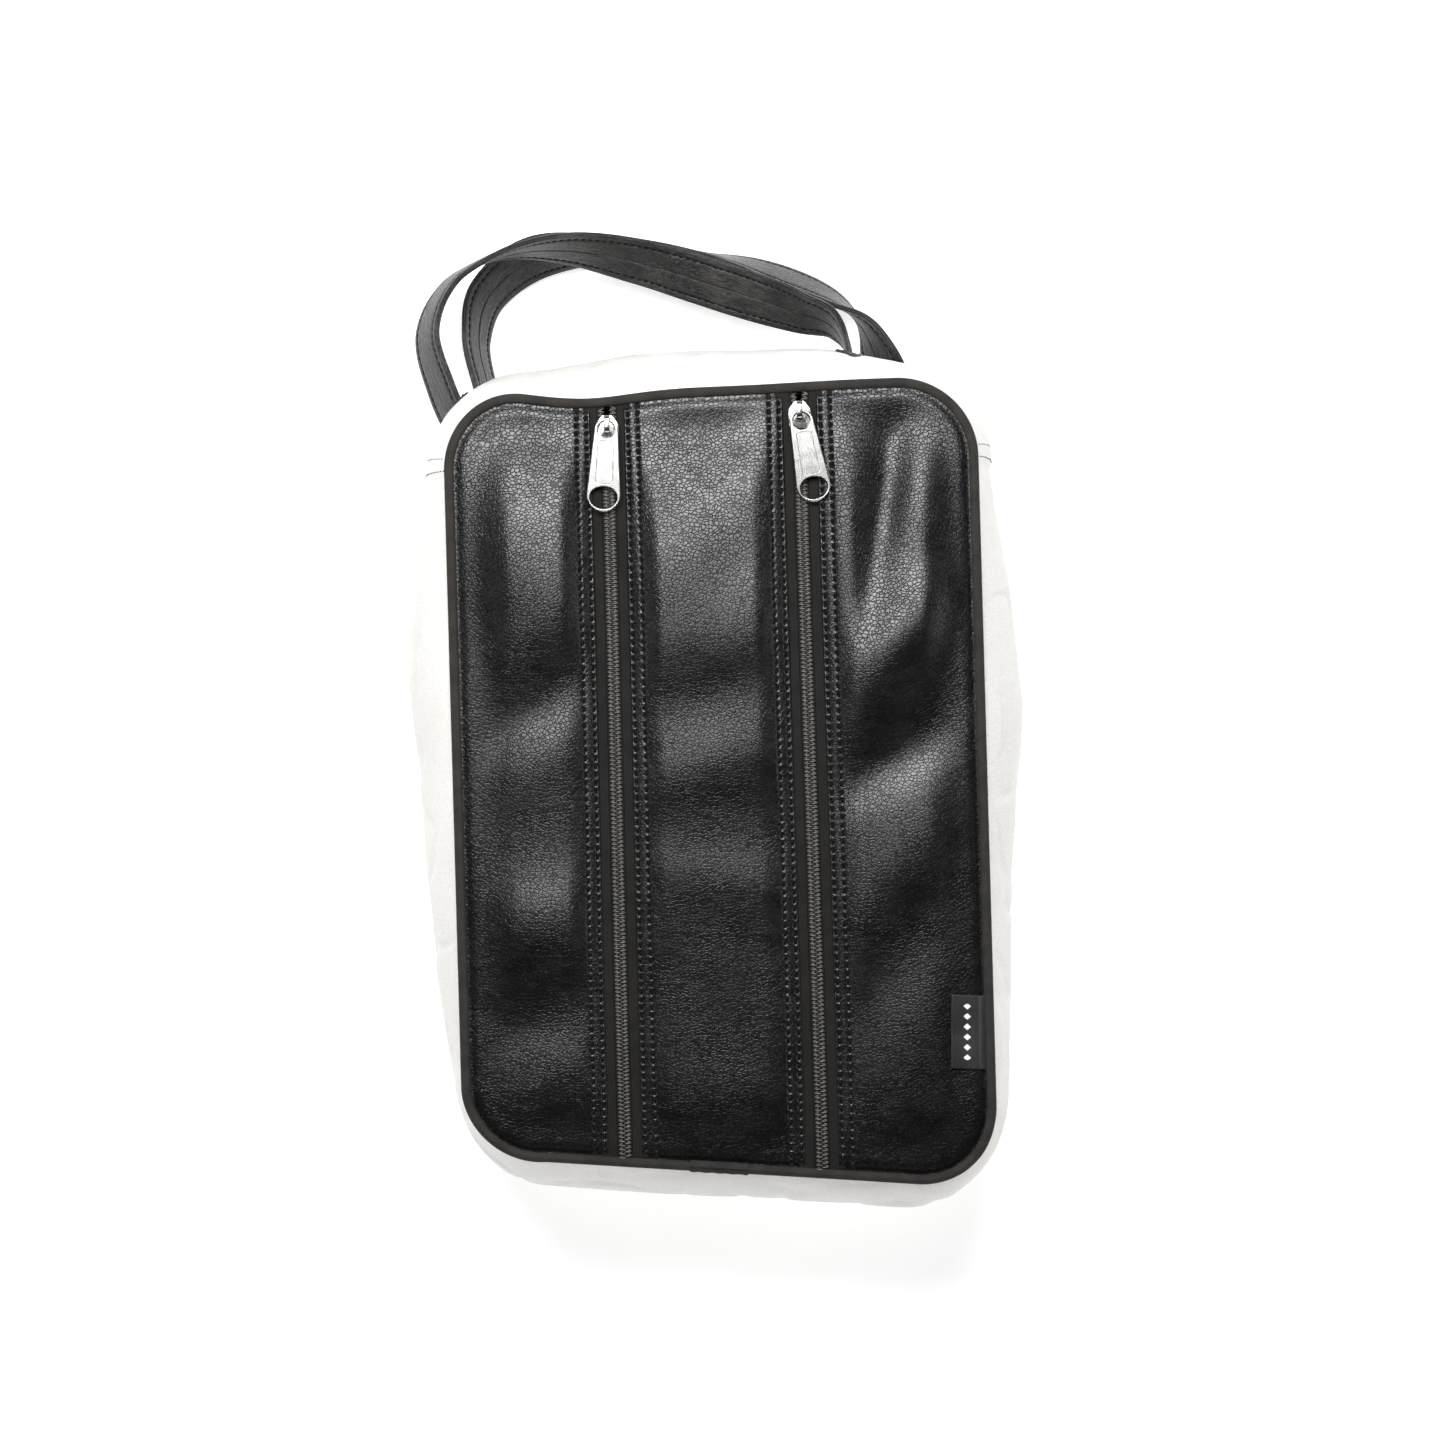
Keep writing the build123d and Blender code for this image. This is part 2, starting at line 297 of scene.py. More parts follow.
def bulge_size(points, normals):
    x, y = points[:, 0] / MM, points[:, 1] / MM
    left = np.interp(y, *BULGE_LEFT) * (normals[:, 0] < 0)
    right = np.interp(y, *BULGE_RIGHT) * (normals[:, 0] > 0)
    top = np.interp(x, *BULGE_TOP) * (normals[:, 1] > 0)
    bottom = np.interp(x, *BULGE_BOTTOM) * (normals[:, 1] < 0)
    size = normals[:, 0] ** 2 * (left + right) + normals[:, 1] ** 2 * (top + bottom)
    spread = np.exp(-np.linspace(-2.2, 2.2, 41) ** 2)
    spread /= spread.sum()
    padded = np.concatenate([size[-20:], size, size[:20]])
    return np.convolve(padded, spread, mode="valid") * MM


GUSSET_LOW = Z_BACK + 1.2 * MM
GUSSET_HIGH = Z_FRONT - 1.0 * MM


def gusset_surface(count, levels, lift=0.0):
    """(levels, count, 3) points of the gusset's outer face, from the back seam to the front."""
    points, normals, _ = seam_line(count)
    size = bulge_size(points, normals)
    v = 0.5 - 0.5 * np.cos(np.linspace(0, pi, levels))
    z = GUSSET_LOW + v * (GUSSET_HIGH - GUSSET_LOW)
    profile = np.sin(pi * v ** 0.94) ** 0.74
    out = profile[:, None] * size[None, :] + (0.4 * MM + lift)
    shape = np.zeros((levels, count, 3))
    shape[..., :2] = points[None] + out[..., None] * normals[None]
    shape[..., 2] = z[:, None]
    shape = settle(shape)
    sway = fractal(shape * [1, 1, 0.9], 60 * MM, 3.1, 2) * 2.4 * MM
    crease = np.abs(fractal(shape * [1, 1, 0.8], 42 * MM, 9.7, 2))
    sway -= 1.8 * MM * bell(crease / 0.10)
    sway *= 1 - 0.6 * bell((v - 0.5) / 0.16)[:, None]
    shape[..., :2] += (sway * profile[:, None])[..., None] * normals[None]
    return shape


# ---------------------------------------------------------------- shell pieces

PIECES = {}


def keep(obj, body, slot, *nodes, bend=None):
    """Every visible piece: the body it rides on, its material slot and the CAD it stands for.

    bend is the stretch of a piece that is sewn to the shell. When it is given, the piece's place is baked
    into its mesh and it is not attached to its body; nothing here makes it bend."""
    if bend is None:
        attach(obj, body)
    else:
        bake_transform(obj)
    if nodes:
        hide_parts(*nodes)
    PIECES[obj.name] = (obj, slot)
    return obj


UNDER_PIPING = 0.9 * MM
FOLD_R = 0.72 * MM
FLAP = 4 * MM


def column_places(x0, x1, fine_left, fine_right):
    """Column positions from x0 to x1: fine along a stitched edge, coarser between."""
    def spacing(x):
        step = 1.3 * MM
        for edge, fine in ((x0, fine_left), (x1, fine_right)):
            near = abs(x - edge)
            if fine and near < 8.5 * MM:
                step = 0.40 * MM
            elif near < 5 * MM:
                step = 0.8 * MM
        return step
    places = [x0]
    while places[-1] < x1 - 0.2 * MM:
        places.append(min(places[-1] + spacing(places[-1]), x1))
    return np.array(places)


def reach_y(x):
    """Where a column at x meets the panel's edge, under the piping."""
    a, b, r = HALF_W - UNDER_PIPING, HALF_H - UNDER_PIPING, CORNER_R - UNDER_PIPING
    over = np.clip(np.abs(x) - (a - r), 0, r)
    return b - r + np.sqrt(np.maximum(r * r - over * over, 0))


def fold_columns(x_edge, side, y, z):
    """The folded edge: over a small radius and back underneath. side is 1 for a right edge."""
    columns = []
    for angle in np.linspace(0, pi, 7)[1:]:
        dx, dz = FOLD_R * sin(angle), FOLD_R * (cos(angle) - 1)
        columns.append(np.stack([np.full_like(y, x_edge + side * dx), y, z + dz], axis=-1))
    flap_x = np.full_like(y, x_edge - side * FLAP)
    columns.append(np.stack([flap_x, y, z - 2 * FOLD_R], axis=-1))
    return columns


def front_strip(name, x0, x1, fold_left, fold_right):
    """One vinyl strip of the front panel, from x0 to x1."""
    rows = 600
    start = x0 + (FOLD_R if fold_left else 0)
    end = x1 - (FOLD_R if fold_right else 0)
    xs = column_places(start, end, fold_left, fold_right)
    t = np.linspace(-1, 1, rows)
    y = reach_y(xs)[:, None] * t[None, :]
    x = np.broadcast_to(xs[:, None], y.shape)
    z = stitch_pits(x, y, front_height(x, y))
    columns = list(np.stack([x, y, z], axis=-1))
    if fold_left:
        columns = fold_columns(start, -1, y[0], z[0])[::-1] + columns
    if fold_right:
        columns = columns + fold_columns(end, 1, y[-1], z[-1])
    strip = add_grid(name, settle(np.array(columns)))
    return keep(strip, "shell", "black_vinyl", name.replace("_skin", ""))


def front_panel():
    edge = HALF_W - UNDER_PIPING
    left, right = SLOT["left"], SLOT["right"]
    front_strip("front_panel_left_skin", -edge, left[0], False, True)
    front_strip("front_panel_centre_skin", left[1], right[0], True, True)
    front_strip("front_panel_right_skin", right[1], edge, True, False)


def back_panel():
    """The face the bag lies on: slack vinyl that touches the table between soft folds."""
    rows, edge = 260, HALF_W - UNDER_PIPING
    xs = column_places(-edge, edge, False, False)
    t = np.linspace(-1, 1, rows)
    y = reach_y(xs)[:, None] * t[None, :]
    x = np.broadcast_to(xs[:, None], y.shape)
    flat = np.stack([x, y, np.zeros_like(y)], axis=-1)
    from_seam = inside_seam(x, y)
    slack = np.maximum(fractal(flat, 95 * MM, 5.5, 2) - 0.05, 0) * 4.5 * MM
    z = 0.25 * MM + slack * smoothstep((from_seam - 6 * MM) / (35 * MM))
    z += 1.9 * MM * bell((from_seam - 1 * MM) / (4.5 * MM))
    panel = add_grid("back_panel_skin", np.stack([x, y, z], axis=-1), flip=True)
    return keep(panel, "shell", "black_vinyl", "back_panel")


GUSSET_COLUMNS = 620    # round the seam; the bulge is smoothed over a fixed number of them
SEAM_LAP = 7 * MM
LAP_LIFT = 0.9 * MM


def gusset_piece(lift, keeps):
    """One strip of the gusset: the part of the ring where keeps(y) holds."""
    count, levels = GUSSET_COLUMNS, 64
    shape = gusset_surface(count, levels, lift)
    middle = seam_line(count)[0]
    inside = keeps(middle[:, 1])
    first = int(np.argmax(inside & ~np.roll(inside, 1)))
    order = np.roll(np.arange(count), -first)
    order = order[inside[order]]
    return shape[:, order]


def gusset():
    """The top strip's ends come down onto the long strip over two columns."""
    raised = gusset_piece(LAP_LIFT, lambda y: y > SEAM_Y - SEAM_LAP)
    unraised = gusset_piece(0.0, lambda y: y > SEAM_Y - SEAM_LAP)
    under = gusset_piece(0.0, lambda y: y < SEAM_Y + SEAM_LAP)
    index = np.arange(raised.shape[1])
    rise = smoothstep(np.minimum(index, index[-1] - index) / 2)[None, :, None]
    top = unraised * (1 - rise) + raised * rise
    upper = add_grid("top_gusset_skin", top, flip=True)
    keep(upper, "shell", "white_vinyl", "top_gusset")
    lower = add_grid("body_gusset_skin", under, flip=True)
    keep(lower, "shell", "white_vinyl", "body_gusset")


def seam_path(count, z, inset=0.0):
    xy, normals, run = seam_line(count, inset)
    return settle(np.column_stack([xy, np.full(count, z)])), normals, run


def piping(face, z):
    """The woven cover, its filler cord and the wrap over the join at the bottom."""
    sides, count = 14, 900
    path, _, run = seam_path(count, z)
    rings = tube_grid(path, (0, 0, 1), PIPING_R, sides, closed=True)
    rings = np.concatenate([rings, rings[:1]])
    rings = np.concatenate([rings, rings[:, :1]], axis=1)
    around = np.linspace(0, 2 * pi * PIPING_R, sides + 1)
    along = np.append(run, run[-1] + run[1])
    uv = np.stack(np.meshgrid(along, around, indexing="ij"), axis=-1)
    cover = add_grid(f"{face}_piping_cover", rings, uv=uv)
    keep(cover, "shell", "piping_braid", f"{face}_piping")
    cord = tube_grid(path[::3], (0, 0, 1), 1.25 * MM, 8, closed=True)
    filler = add_grid(f"{face}_piping_filler", cord, wrap_rows=True, wrap_cols=True)
    keep(filler, "shell", "filler_cord", f"{face}_piping_cord")
    wrap(face, z)


def wrap(face, z):
    node = f"{face}_piping_sleeve"
    x0, x1 = low(node)[0], high(node)[0]
    t = np.linspace(0, 1, 60)
    x = x0 + (x1 - x0) * t
    path = settle(np.column_stack([x, np.full(60, -HALF_H), np.full(60, z)]))
    end = smoothstep(np.minimum(t, 1 - t) / 0.035)
    radius = PIPING_R + (0.05 + 0.42 * end) * MM + 0.10 * MM * np.sin(9 * pi * t) * end
    sides = 20
    rings = tube_grid(path, (0, 0, 1), radius, sides)
    around = np.linspace(0, 2 * pi * PIPING_R, sides, endpoint=False)
    uv = np.stack(np.meshgrid(x, around, indexing="ij"), axis=-1)
    sleeve = add_grid(f"{node}_wrap", rings, uv=uv, wrap_cols=True)
    keep(sleeve, "shell", "piping_braid", node)


def bindings():
    """The bound seam allowances inside the bag."""
    for face in ("front", "back"):
        node = f"{face}_seam_binding"
        z0, z1 = low(node)[2], high(node)[2]
        rows = []
        for inset, z in ((1.5, z0), (2.8, z0), (2.8, z1), (1.5, z1)):
            path, _, _ = seam_path(400, z, inset * MM)
            rows.append(path)
        tape = add_grid(f"{node}_tape", np.array(rows), wrap_rows=True, wrap_cols=True)
        keep(tape, "shell", "seam_binding", node)


def divider():
    """The slack wall between the two shoe compartments."""
    node = "compartment_divider"
    y = np.linspace(low(node)[1], high(node)[1], 120)
    z = np.linspace(low(node)[2] + 0.5 * MM, high(node)[2] - 0.5 * MM, 50)
    yy, zz = np.meshgrid(y, z, indexing="ij")
    middle = (low(node)[0] + high(node)[0]) / 2
    flat = np.stack([np.full_like(yy, middle), yy, zz], axis=-1)
    held = np.sin(pi * (yy - y[0]) / (y[-1] - y[0])) * np.sin(pi * (zz - z[0]) / (z[-1] - z[0]))
    flat[..., 0] += fractal(flat, 60 * MM, 2.2, 2) * 4 * MM * held
    sheet = add_grid("compartment_divider_cloth", flat)
    solid = sheet.modifiers.new("cloth thickness", "SOLIDIFY")
    solid.thickness = 1.0 * MM
    solid.offset = 0
    keep(sheet, "shell", "divider_fabric", node)

# ---------------------------------------------------------------- zips

LOOP_PITCH = 1.87 * MM
LOOP_R = 0.40 * MM
LOOP_REACH = 1.16 * MM
LOOP_TURN = 14
UNDER_SEAM = 4.8 * MM    # zip ends caught in the seam past the CAD tape


def chain_line(side, y):
    """Sideways place and height of a zip's middle at y, and how far its halves stand apart."""
    points = settle(np.stack([np.full_like(y, ZIP_X[side]), y, np.full_like(y, COIL_TOP)], axis=-1))
    above = np.maximum(y - SLIDER_Y[side] - 1.5 * MM, 0)
    apart = 1.4 * MM * smoothstep(above / (9 * MM))
    return points[..., 0], points[..., 1], apart


def coil(side, half):
    """One spiral of the chain: round nylon wire bent into loops that mesh with its partner's."""
    sign = -1 if half == "left" else 1
    node = f"{side}_zip_coil_{half}"
    bottom, top = low(node), high(node)
    y0, y1 = bottom[1] - UNDER_SEAM, top[1] + UNDER_SEAM
    turns = int((y1 - y0) / LOOP_PITCH)
    theta = np.linspace(0, 2 * pi * turns, turns * LOOP_TURN + 1)
    stagger = 0.5 * LOOP_PITCH if sign > 0 else 0
    y = y0 + stagger + LOOP_PITCH / (2 * pi) * (theta + 0.9 * np.cos(theta))
    middle_z = (bottom[2] + top[2]) / 2
    rise = (top[2] - bottom[2]) / 2 - LOOP_R
    x, y_set, apart = chain_line(side, y)
    x = x + sign * (1.20 * MM + apart - LOOP_REACH * np.cos(theta))
    z = middle_z + rise * np.sin(theta)
    path = np.column_stack([x, y_set, z])
    rings = tube_grid(path, (0, 1, 0), LOOP_R, 6)
    piece = add_grid(f"{node}_loops", rings, wrap_cols=True)
    return keep(piece, "shell", "zip_coil", node)


def tape(side, half):
    """Woven tape: from beside the chain to under the vinyl, with its sewn line."""
    sign = -1 if half == "left" else 1
    node = f"{side}_zip_tape_{half}"
    reach = high(node)[0] - low(node)[0]
    y = np.linspace(low(node)[1] - UNDER_SEAM, high(node)[1] + UNDER_SEAM, 400)
    across = np.concatenate([[0.0, 0.9, 2.3, 2.62, 2.78, 2.95, 3.12, 3.45, 4.2, 5.4, 6.6], [reach / MM]]) * MM
    drop = np.zeros_like(across)
    drop[3:8] = np.array([-0.05, -0.22, -0.28, -0.22, -0.04]) * MM
    x, y_set, apart = chain_line(side, y)
    xs = x[:, None] + sign * (0.25 * MM + apart[:, None] * (1 - across / reach) + across)
    z = np.broadcast_to(TAPE_Z + drop, xs.shape)
    points = np.stack([xs, np.broadcast_to(y_set[:, None], xs.shape), z], axis=-1)
    uv = np.stack([np.broadcast_to(across, xs.shape), np.broadcast_to(y[:, None], xs.shape)], axis=-1)
    cloth = add_grid(f"{node}_cloth", points, uv=uv, flip=sign < 0)
    solid = cloth.modifiers.new("cloth thickness", "SOLIDIFY")
    solid.thickness = 0.5 * MM
    solid.offset = -1
    return keep(cloth, "shell", "zip_tape", node)


def zips():
    for side in ZIP_X:
        for half in ("left", "right"):
            tape(side, half)
            coil(side, half)

# ---------------------------------------------------------------- sliders and pulls


def outline_normals(outline):
    along = unit(np.roll(outline, -1, axis=0) - np.roll(outline, 1, axis=0))
    return np.stack([along[:, 1], -along[:, 0]], axis=-1)


def rounded(corners, radius, steps=6):
    """A closed anticlockwise outline with rounded corners. radius is one value or one per corner."""
    corners = np.asarray(corners, dtype=float)
    radii = np.broadcast_to(radius, len(corners))
    points = []
    for i, corner in enumerate(corners):
        before, after = unit(corners[i - 1] - corner), unit(corners[(i + 1) % len(corners)] - corner)
        half = np.arccos(np.clip(before @ after, -1, 1)) / 2
        back = radii[i] / tan(half)
        centre = corner + unit(before + after) * radii[i] / sin(half)
        first, last = corner + before * back - centre, corner + after * back - centre
        a0 = np.arctan2(first[1], first[0])
        turn = (np.arctan2(last[1], last[0]) - a0 + pi) % (2 * pi) - pi
        for a in a0 + turn * np.linspace(0, 1, steps):
            points.append(centre + radii[i] * np.array([cos(a), sin(a)]))
    return np.array(points)


def slab(outline, z0, z1, edge):
    """Vertices, quads and triangles of a plate with rounded rims."""
    normals = outline_normals(outline)
    n = len(outline)
    rims = []
    for a in np.linspace(0, pi / 2, 5):
        rims.append((edge * (1 - sin(a)), z0 + edge * (1 - cos(a))))
    for a in np.linspace(pi / 2, 0, 5):
        rims.append((edge * (1 - sin(a)), z1 - edge * (1 - cos(a))))
    rings = [np.column_stack([outline - inset * normals, np.full(n, z)]) for inset, z in rims]
    verts = np.concatenate(rings)
    faces = list(grid_faces(n, len(rims), wrap_rows=True))
    index = np.arange(len(rims) * n).reshape(len(rims), n)
    swap = np.arange(n * len(rims)).reshape(n, len(rims))
    lookup = np.empty(n * len(rims), dtype=int)
    lookup[swap.ravel()] = index.T.ravel()
    quads = lookup[np.array(faces)]
    centre_low, centre_high = len(verts), len(verts) + 1
    middle = outline.mean(axis=0)
    verts = np.concatenate([verts, [[*middle, z0], [*middle, z1]]])
    fans = []
    for i in range(n):
        j = (i + 1) % n
        fans.append([centre_low, index[0, j], index[0, i]])
        fans.append([centre_high, index[-1, i], index[-1, j]])
    return verts, quads, np.array(fans)


def add_parts(name, parts):
    """One mesh from several closed parts, each (verts, quads, triangles)."""
    verts, polygons, start = [], [], 0
    for part_verts, quads, triangles in parts:
        verts.append(part_verts)
        polygons += [[int(v) + start for v in face] for face in quads]
        polygons += [[int(v) + start for v in face] for face in triangles]
        start += len(part_verts)
    mesh = bpy.data.meshes.new(name)
    mesh.from_pydata(np.concatenate(verts).tolist(), [], polygons)
    mesh.validate()
    mesh.polygons.foreach_set("use_smooth", np.full(len(mesh.polygons), True))
    obj = bpy.data.objects.new(name, mesh)
    bpy.context.collection.objects.link(obj)
    return obj


def crown_arch(y0, y1, z0, z1, width):
    """The bridge that holds the pull: a strap of metal bent over from nose to tail."""
    leg, n = 1.1 * MM, 41
    angle = np.linspace(pi, 0, n)
    reach = (y1 - y0 - leg) / 2
    y = (y0 + y1) / 2 + reach * np.sign(np.cos(angle)) * np.abs(np.cos(angle)) ** 0.5
    z = z0 + (z1 - leg / 2 - z0) * np.abs(np.sin(angle)) ** 0.5
    path = np.stack([np.zeros(n), y, z], axis=-1)
    section = rounded([(-width / 2, -leg / 2), (width / 2, -leg / 2),
                       (width / 2, leg / 2), (-width / 2, leg / 2)], 0.42 * MM, 4)
    along = tangents(path)
    side = np.broadcast_to([1.0, 0, 0], path.shape)
    up = np.cross(side, along)
    rings = path[:, None] + section[None, :, :1] * side[:, None] + section[None, :, 1:] * up[:, None]
    m = len(section)
    verts = rings.reshape(-1, 3)
    quads = grid_faces(n, m, wrap_cols=True)
    return verts, quads, np.zeros((0, 3), dtype=int)


def slider(side):
    node = f"{side}_zip_slider"
    a, b = low(node), high(node)
    cx, cy = (a[0] + b[0]) / 2, (a[1] + b[1]) / 2
    half_l, half_w = (b[1] - a[1]) / 2, (b[0] - a[0]) / 2
    plate_low, plate_high = COIL_TOP + 0.4 * MM, COIL_TOP + 1.6 * MM
    shield = [(-0.80 * half_w, -half_l), (0.80 * half_w, -half_l), (half_w, -0.10 * half_l),
              (0.97 * half_w, 0.38 * half_l), (0.42 * half_w, half_l),
              (-0.42 * half_w, half_l), (-0.97 * half_w, 0.38 * half_l), (-half_w, -0.10 * half_l)]
    outline = rounded(shield, np.array([1.5, 1.5, 3.4, 3.0, 2.0, 2.0, 3.0, 3.4]) * MM)
    parts = [slab(outline, plate_low, plate_high, 0.50 * MM)]
    parts.append(slab(outline, a[2], a[2] + 1.2 * MM, 0.5 * MM))
    step = rounded(np.array(shield) * 0.66 + [0, 0.7 * MM], 1.2 * MM)
    parts.append(slab(step, plate_high - 0.5 * MM, plate_high + 0.38 * MM, 0.34 * MM))
    for sign in (-1, 1):
        inner, outer = sign * 3.5 * MM, sign * (half_w - 0.35 * MM)
        xs = sorted([inner, outer])
        rail = rounded([(xs[0], -0.84 * half_l), (xs[1], -0.84 * half_l),
                        (xs[1], 0.45 * half_l), (xs[0], 0.45 * half_l)], 0.35 * MM)
        parts.append(slab(rail, TAPE_Z + 0.4 * MM, plate_low + 0.4 * MM, 0.3 * MM))
    neck = rounded([(-0.6 * MM, 0.3 * half_l), (0.6 * MM, 0.3 * half_l),
                    (1.4 * MM, 0.84 * half_l), (-1.4 * MM, 0.84 * half_l)], 0.3 * MM)
    parts.append(slab(neck, a[2] + 0.5 * MM, plate_high - 0.5 * MM, 0.1 * MM))
    parts.append(crown_arch(-2.4 * MM, 6.1 * MM, plate_high - 0.3 * MM, b[2], 2.6 * MM))
    body = add_parts(f"{node}_casting", parts)
    shift(body, (cx, cy, 0))
    return keep(body, f"{side}_slider", "nickel", node)


def shift(obj, place, turn=0.0):
    """Turns a mesh about Z, then moves it, so its object stays at the origin."""
    count = len(obj.data.vertices)
    points = np.empty(count * 3, dtype=np.float32)
    obj.data.vertices.foreach_get("co", points)
    points = points.reshape(-1, 3)
    c, s = cos(turn), sin(turn)
    turned = points @ np.array([[c, s, 0], [-s, c, 0], [0, 0, 1]], dtype=np.float32)
    obj.data.vertices.foreach_set("co", (turned + np.array(place, dtype=np.float32)).ravel())
    obj.data.update()


def plate_from_outlines(name, outlines, thickness, edge):
    """A flat plate with holes: the first outline is its rim, the others are openings."""
    curve = bpy.data.curves.new(name, "CURVE")
    curve.dimensions = "2D"
    curve.fill_mode = "BOTH"
    for outline in outlines:
        spline = curve.splines.new("POLY")
        spline.points.add(len(outline) - 1)
        flat = np.column_stack([outline, np.zeros(len(outline)), np.ones(len(outline))])
        spline.points.foreach_set("co", flat.ravel())
        spline.use_cyclic_u = True
    curve.extrude = thickness / 2 - edge
    curve.bevel_depth = edge
    curve.bevel_resolution = 3
    curve.offset = -edge
    holder = bpy.data.objects.new(name, curve)
    mesh = bpy.data.meshes.new_from_object(holder)
    bpy.data.objects.remove(holder)
    return mesh


def circle(cx, cy, rx, ry, count=64):
    a = np.linspace(0, 2 * pi, count, endpoint=False)
    return np.column_stack([cx + rx * np.cos(a), cy + ry * np.sin(a)])


PULL_T = 1.4 * MM
EYE_R, END_R, RIM = 5.2 * MM, 7.5 * MM, 1.3 * MM
FINGER_HOLE_H = 10 * MM
FIELD_W = 7.4 * MM
PULL_LENGTH = 41.8 * MM


def pull_outline():
    """The hull of the eye's circle and the finger end's circle."""
    eye_y, end_y = PULL_T / 2 - EYE_R, PULL_T / 2 - PULL_LENGTH + END_R
    lean = np.arcsin((END_R - EYE_R) / (eye_y - end_y))
    top = np.linspace(lean, pi - lean, 28)
    bottom = np.linspace(pi - lean, 2 * pi + lean, 40)
    upper = np.column_stack([EYE_R * np.cos(top), eye_y + EYE_R * np.sin(top)])
    lower = np.column_stack([END_R * np.cos(bottom), end_y + END_R * np.sin(bottom)])
    return np.concatenate([upper, lower]), eye_y


def pull(side):
    node = f"{side}_zip_pull"
    hinge = JOINTS[f"{side}_pull_swing"]
    axis_x, axis_y, axis_z = hinge["pos_m"]
    yaw = np.arctan2(-hinge["axis"][1], -hinge["axis"][0])
    outline, eye_y = pull_outline()
    eye = circle(0, eye_y, EYE_R - RIM, EYE_R - RIM)
    hole_y = PULL_T / 2 - PULL_LENGTH + RIM + FINGER_HOLE_H / 2
    finger = circle(0, hole_y, END_R - RIM, FINGER_HOLE_H / 2)
    field_top, field_end = eye_y - EYE_R, hole_y + FINGER_HOLE_H / 2 + RIM
    wide = FIELD_W / 2
    narrow = wide * 0.86
    field = rounded([(-wide, field_end), (wide, field_end), (narrow, field_top), (-narrow, field_top)],
                    1.3 * MM)
    rim = plate_from_outlines("rim", [outline, eye, finger, field], PULL_T, 0.34 * MM)
    web = plate_from_outlines("web", [outline * [0.94, 1], eye, finger], PULL_T - 0.5 * MM, 0.1 * MM)
    parts = []
    for mesh in (rim, web):
        verts = np.array([v.co[:] for v in mesh.vertices])
        parts.append((verts, [list(p.vertices) for p in mesh.polygons], []))
        bpy.data.meshes.remove(mesh)
    plate = add_parts(f"{node}_plate", parts)
    shift(plate, (axis_x, axis_y, axis_z), yaw)
    return keep(plate, f"{side}_pull", "nickel", node)

# ---------------------------------------------------------------- handles

# Places along each strap's middle (x, y, z: mm) and the lean of its upper edge away from the bag
HANDLES = {
    "front": [(-113, 158, 60, -30), (-123, 183, 61, -30), (-128.5, 208, 60, -25), (-118, 231, 54, -15),
              (-94, 244.5, 46, 0), (-66, 247, 40, 25), (-30, 240, 36, 50), (14, 225, 38, 58),
              (42, 214.5, 46, 42), (57, 208, 55, 20), (64, 197, 59, 0), (66, 180, 60, -10)],
    "back": [(-99, 162, 28, 15), (-104.5, 186, 28, 20), (-108, 208, 25, 25), (-103, 228, 18, 40),
             (-82, 245, 14, 48), (-46, 249, 14, 20), (-2, 245, 15.5, -5), (36, 233.5, 17, -26),
             (62, 219.5, 21, -16), (73.5, 208, 24, 14), (79, 195, 26, 38), (84, 178, 27.5, 64)],
}
STRAP_HALF_W = 12.5 * MM
STRAP_HALF_T = 1.5 * MM
STRAP_ROW = 9.0 * MM
STRAP_PITCH = 3.3 * MM
SWING = {face: Vector(JOINTS[f"{face}_handle_swing"]["pos_m"]) for face in HANDLES}
BEND_BELOW = Vector((0, -18 * MM, 0))    # the stretch of its roots over which the strap would bend; only passed on as bend
BEND_ABOVE = Vector((0, 18 * MM, 0))


def through(stations, step):
    """A smooth curve through the stations, sampled about every step metres."""
    p = np.array(stations, dtype=float)
    p[:, :3] *= MM
    gaps = np.sqrt(np.linalg.norm(np.diff(p[:, :3], axis=0), axis=1))
    slopes = np.zeros_like(p)
    slopes[1:-1] = ((p[2:] - p[1:-1]) / gaps[1:, None] * gaps[:-1, None]
                    + (p[1:-1] - p[:-2]) / gaps[:-1, None] * gaps[1:, None]) / (gaps[1:] + gaps[:-1])[:, None]
    slopes[0] = (p[1] - p[0]) / gaps[0]
    slopes[-1] = (p[-1] - p[-2]) / gaps[-1]
    samples = []
    for i, gap in enumerate(gaps):
        t = np.linspace(0, 1, 60, endpoint=i == len(gaps) - 1)[:, None]
        samples.append((2 * t ** 3 - 3 * t ** 2 + 1) * p[i] + (t ** 3 - 2 * t ** 2 + t) * gap * slopes[i]
                       + (3 * t ** 2 - 2 * t ** 3) * p[i + 1] + (t ** 3 - t ** 2) * gap * slopes[i + 1])
    curve = np.concatenate(samples)
    run = np.concatenate([[0], np.cumsum(np.linalg.norm(np.diff(curve[:, :3], axis=0), axis=1))])
    even = np.linspace(0, run[-1], int(run[-1] / step) + 1)
    return np.stack([np.interp(even, run, curve[:, k]) for k in range(4)], axis=-1), even


def strap_frame(line):
    """Directions along the strap, across its width and out of its outer face."""
    along = tangents(line[:, :3])
    outward = unit(np.cross([0.0, 0, 1], along))
    across = np.cross(along, outward)
    lean = -np.radians(line[:, 3])[:, None]
    across = across * np.cos(lean) + np.cross(along, across) * np.sin(lean)
    return along, across, np.cross(across, along)


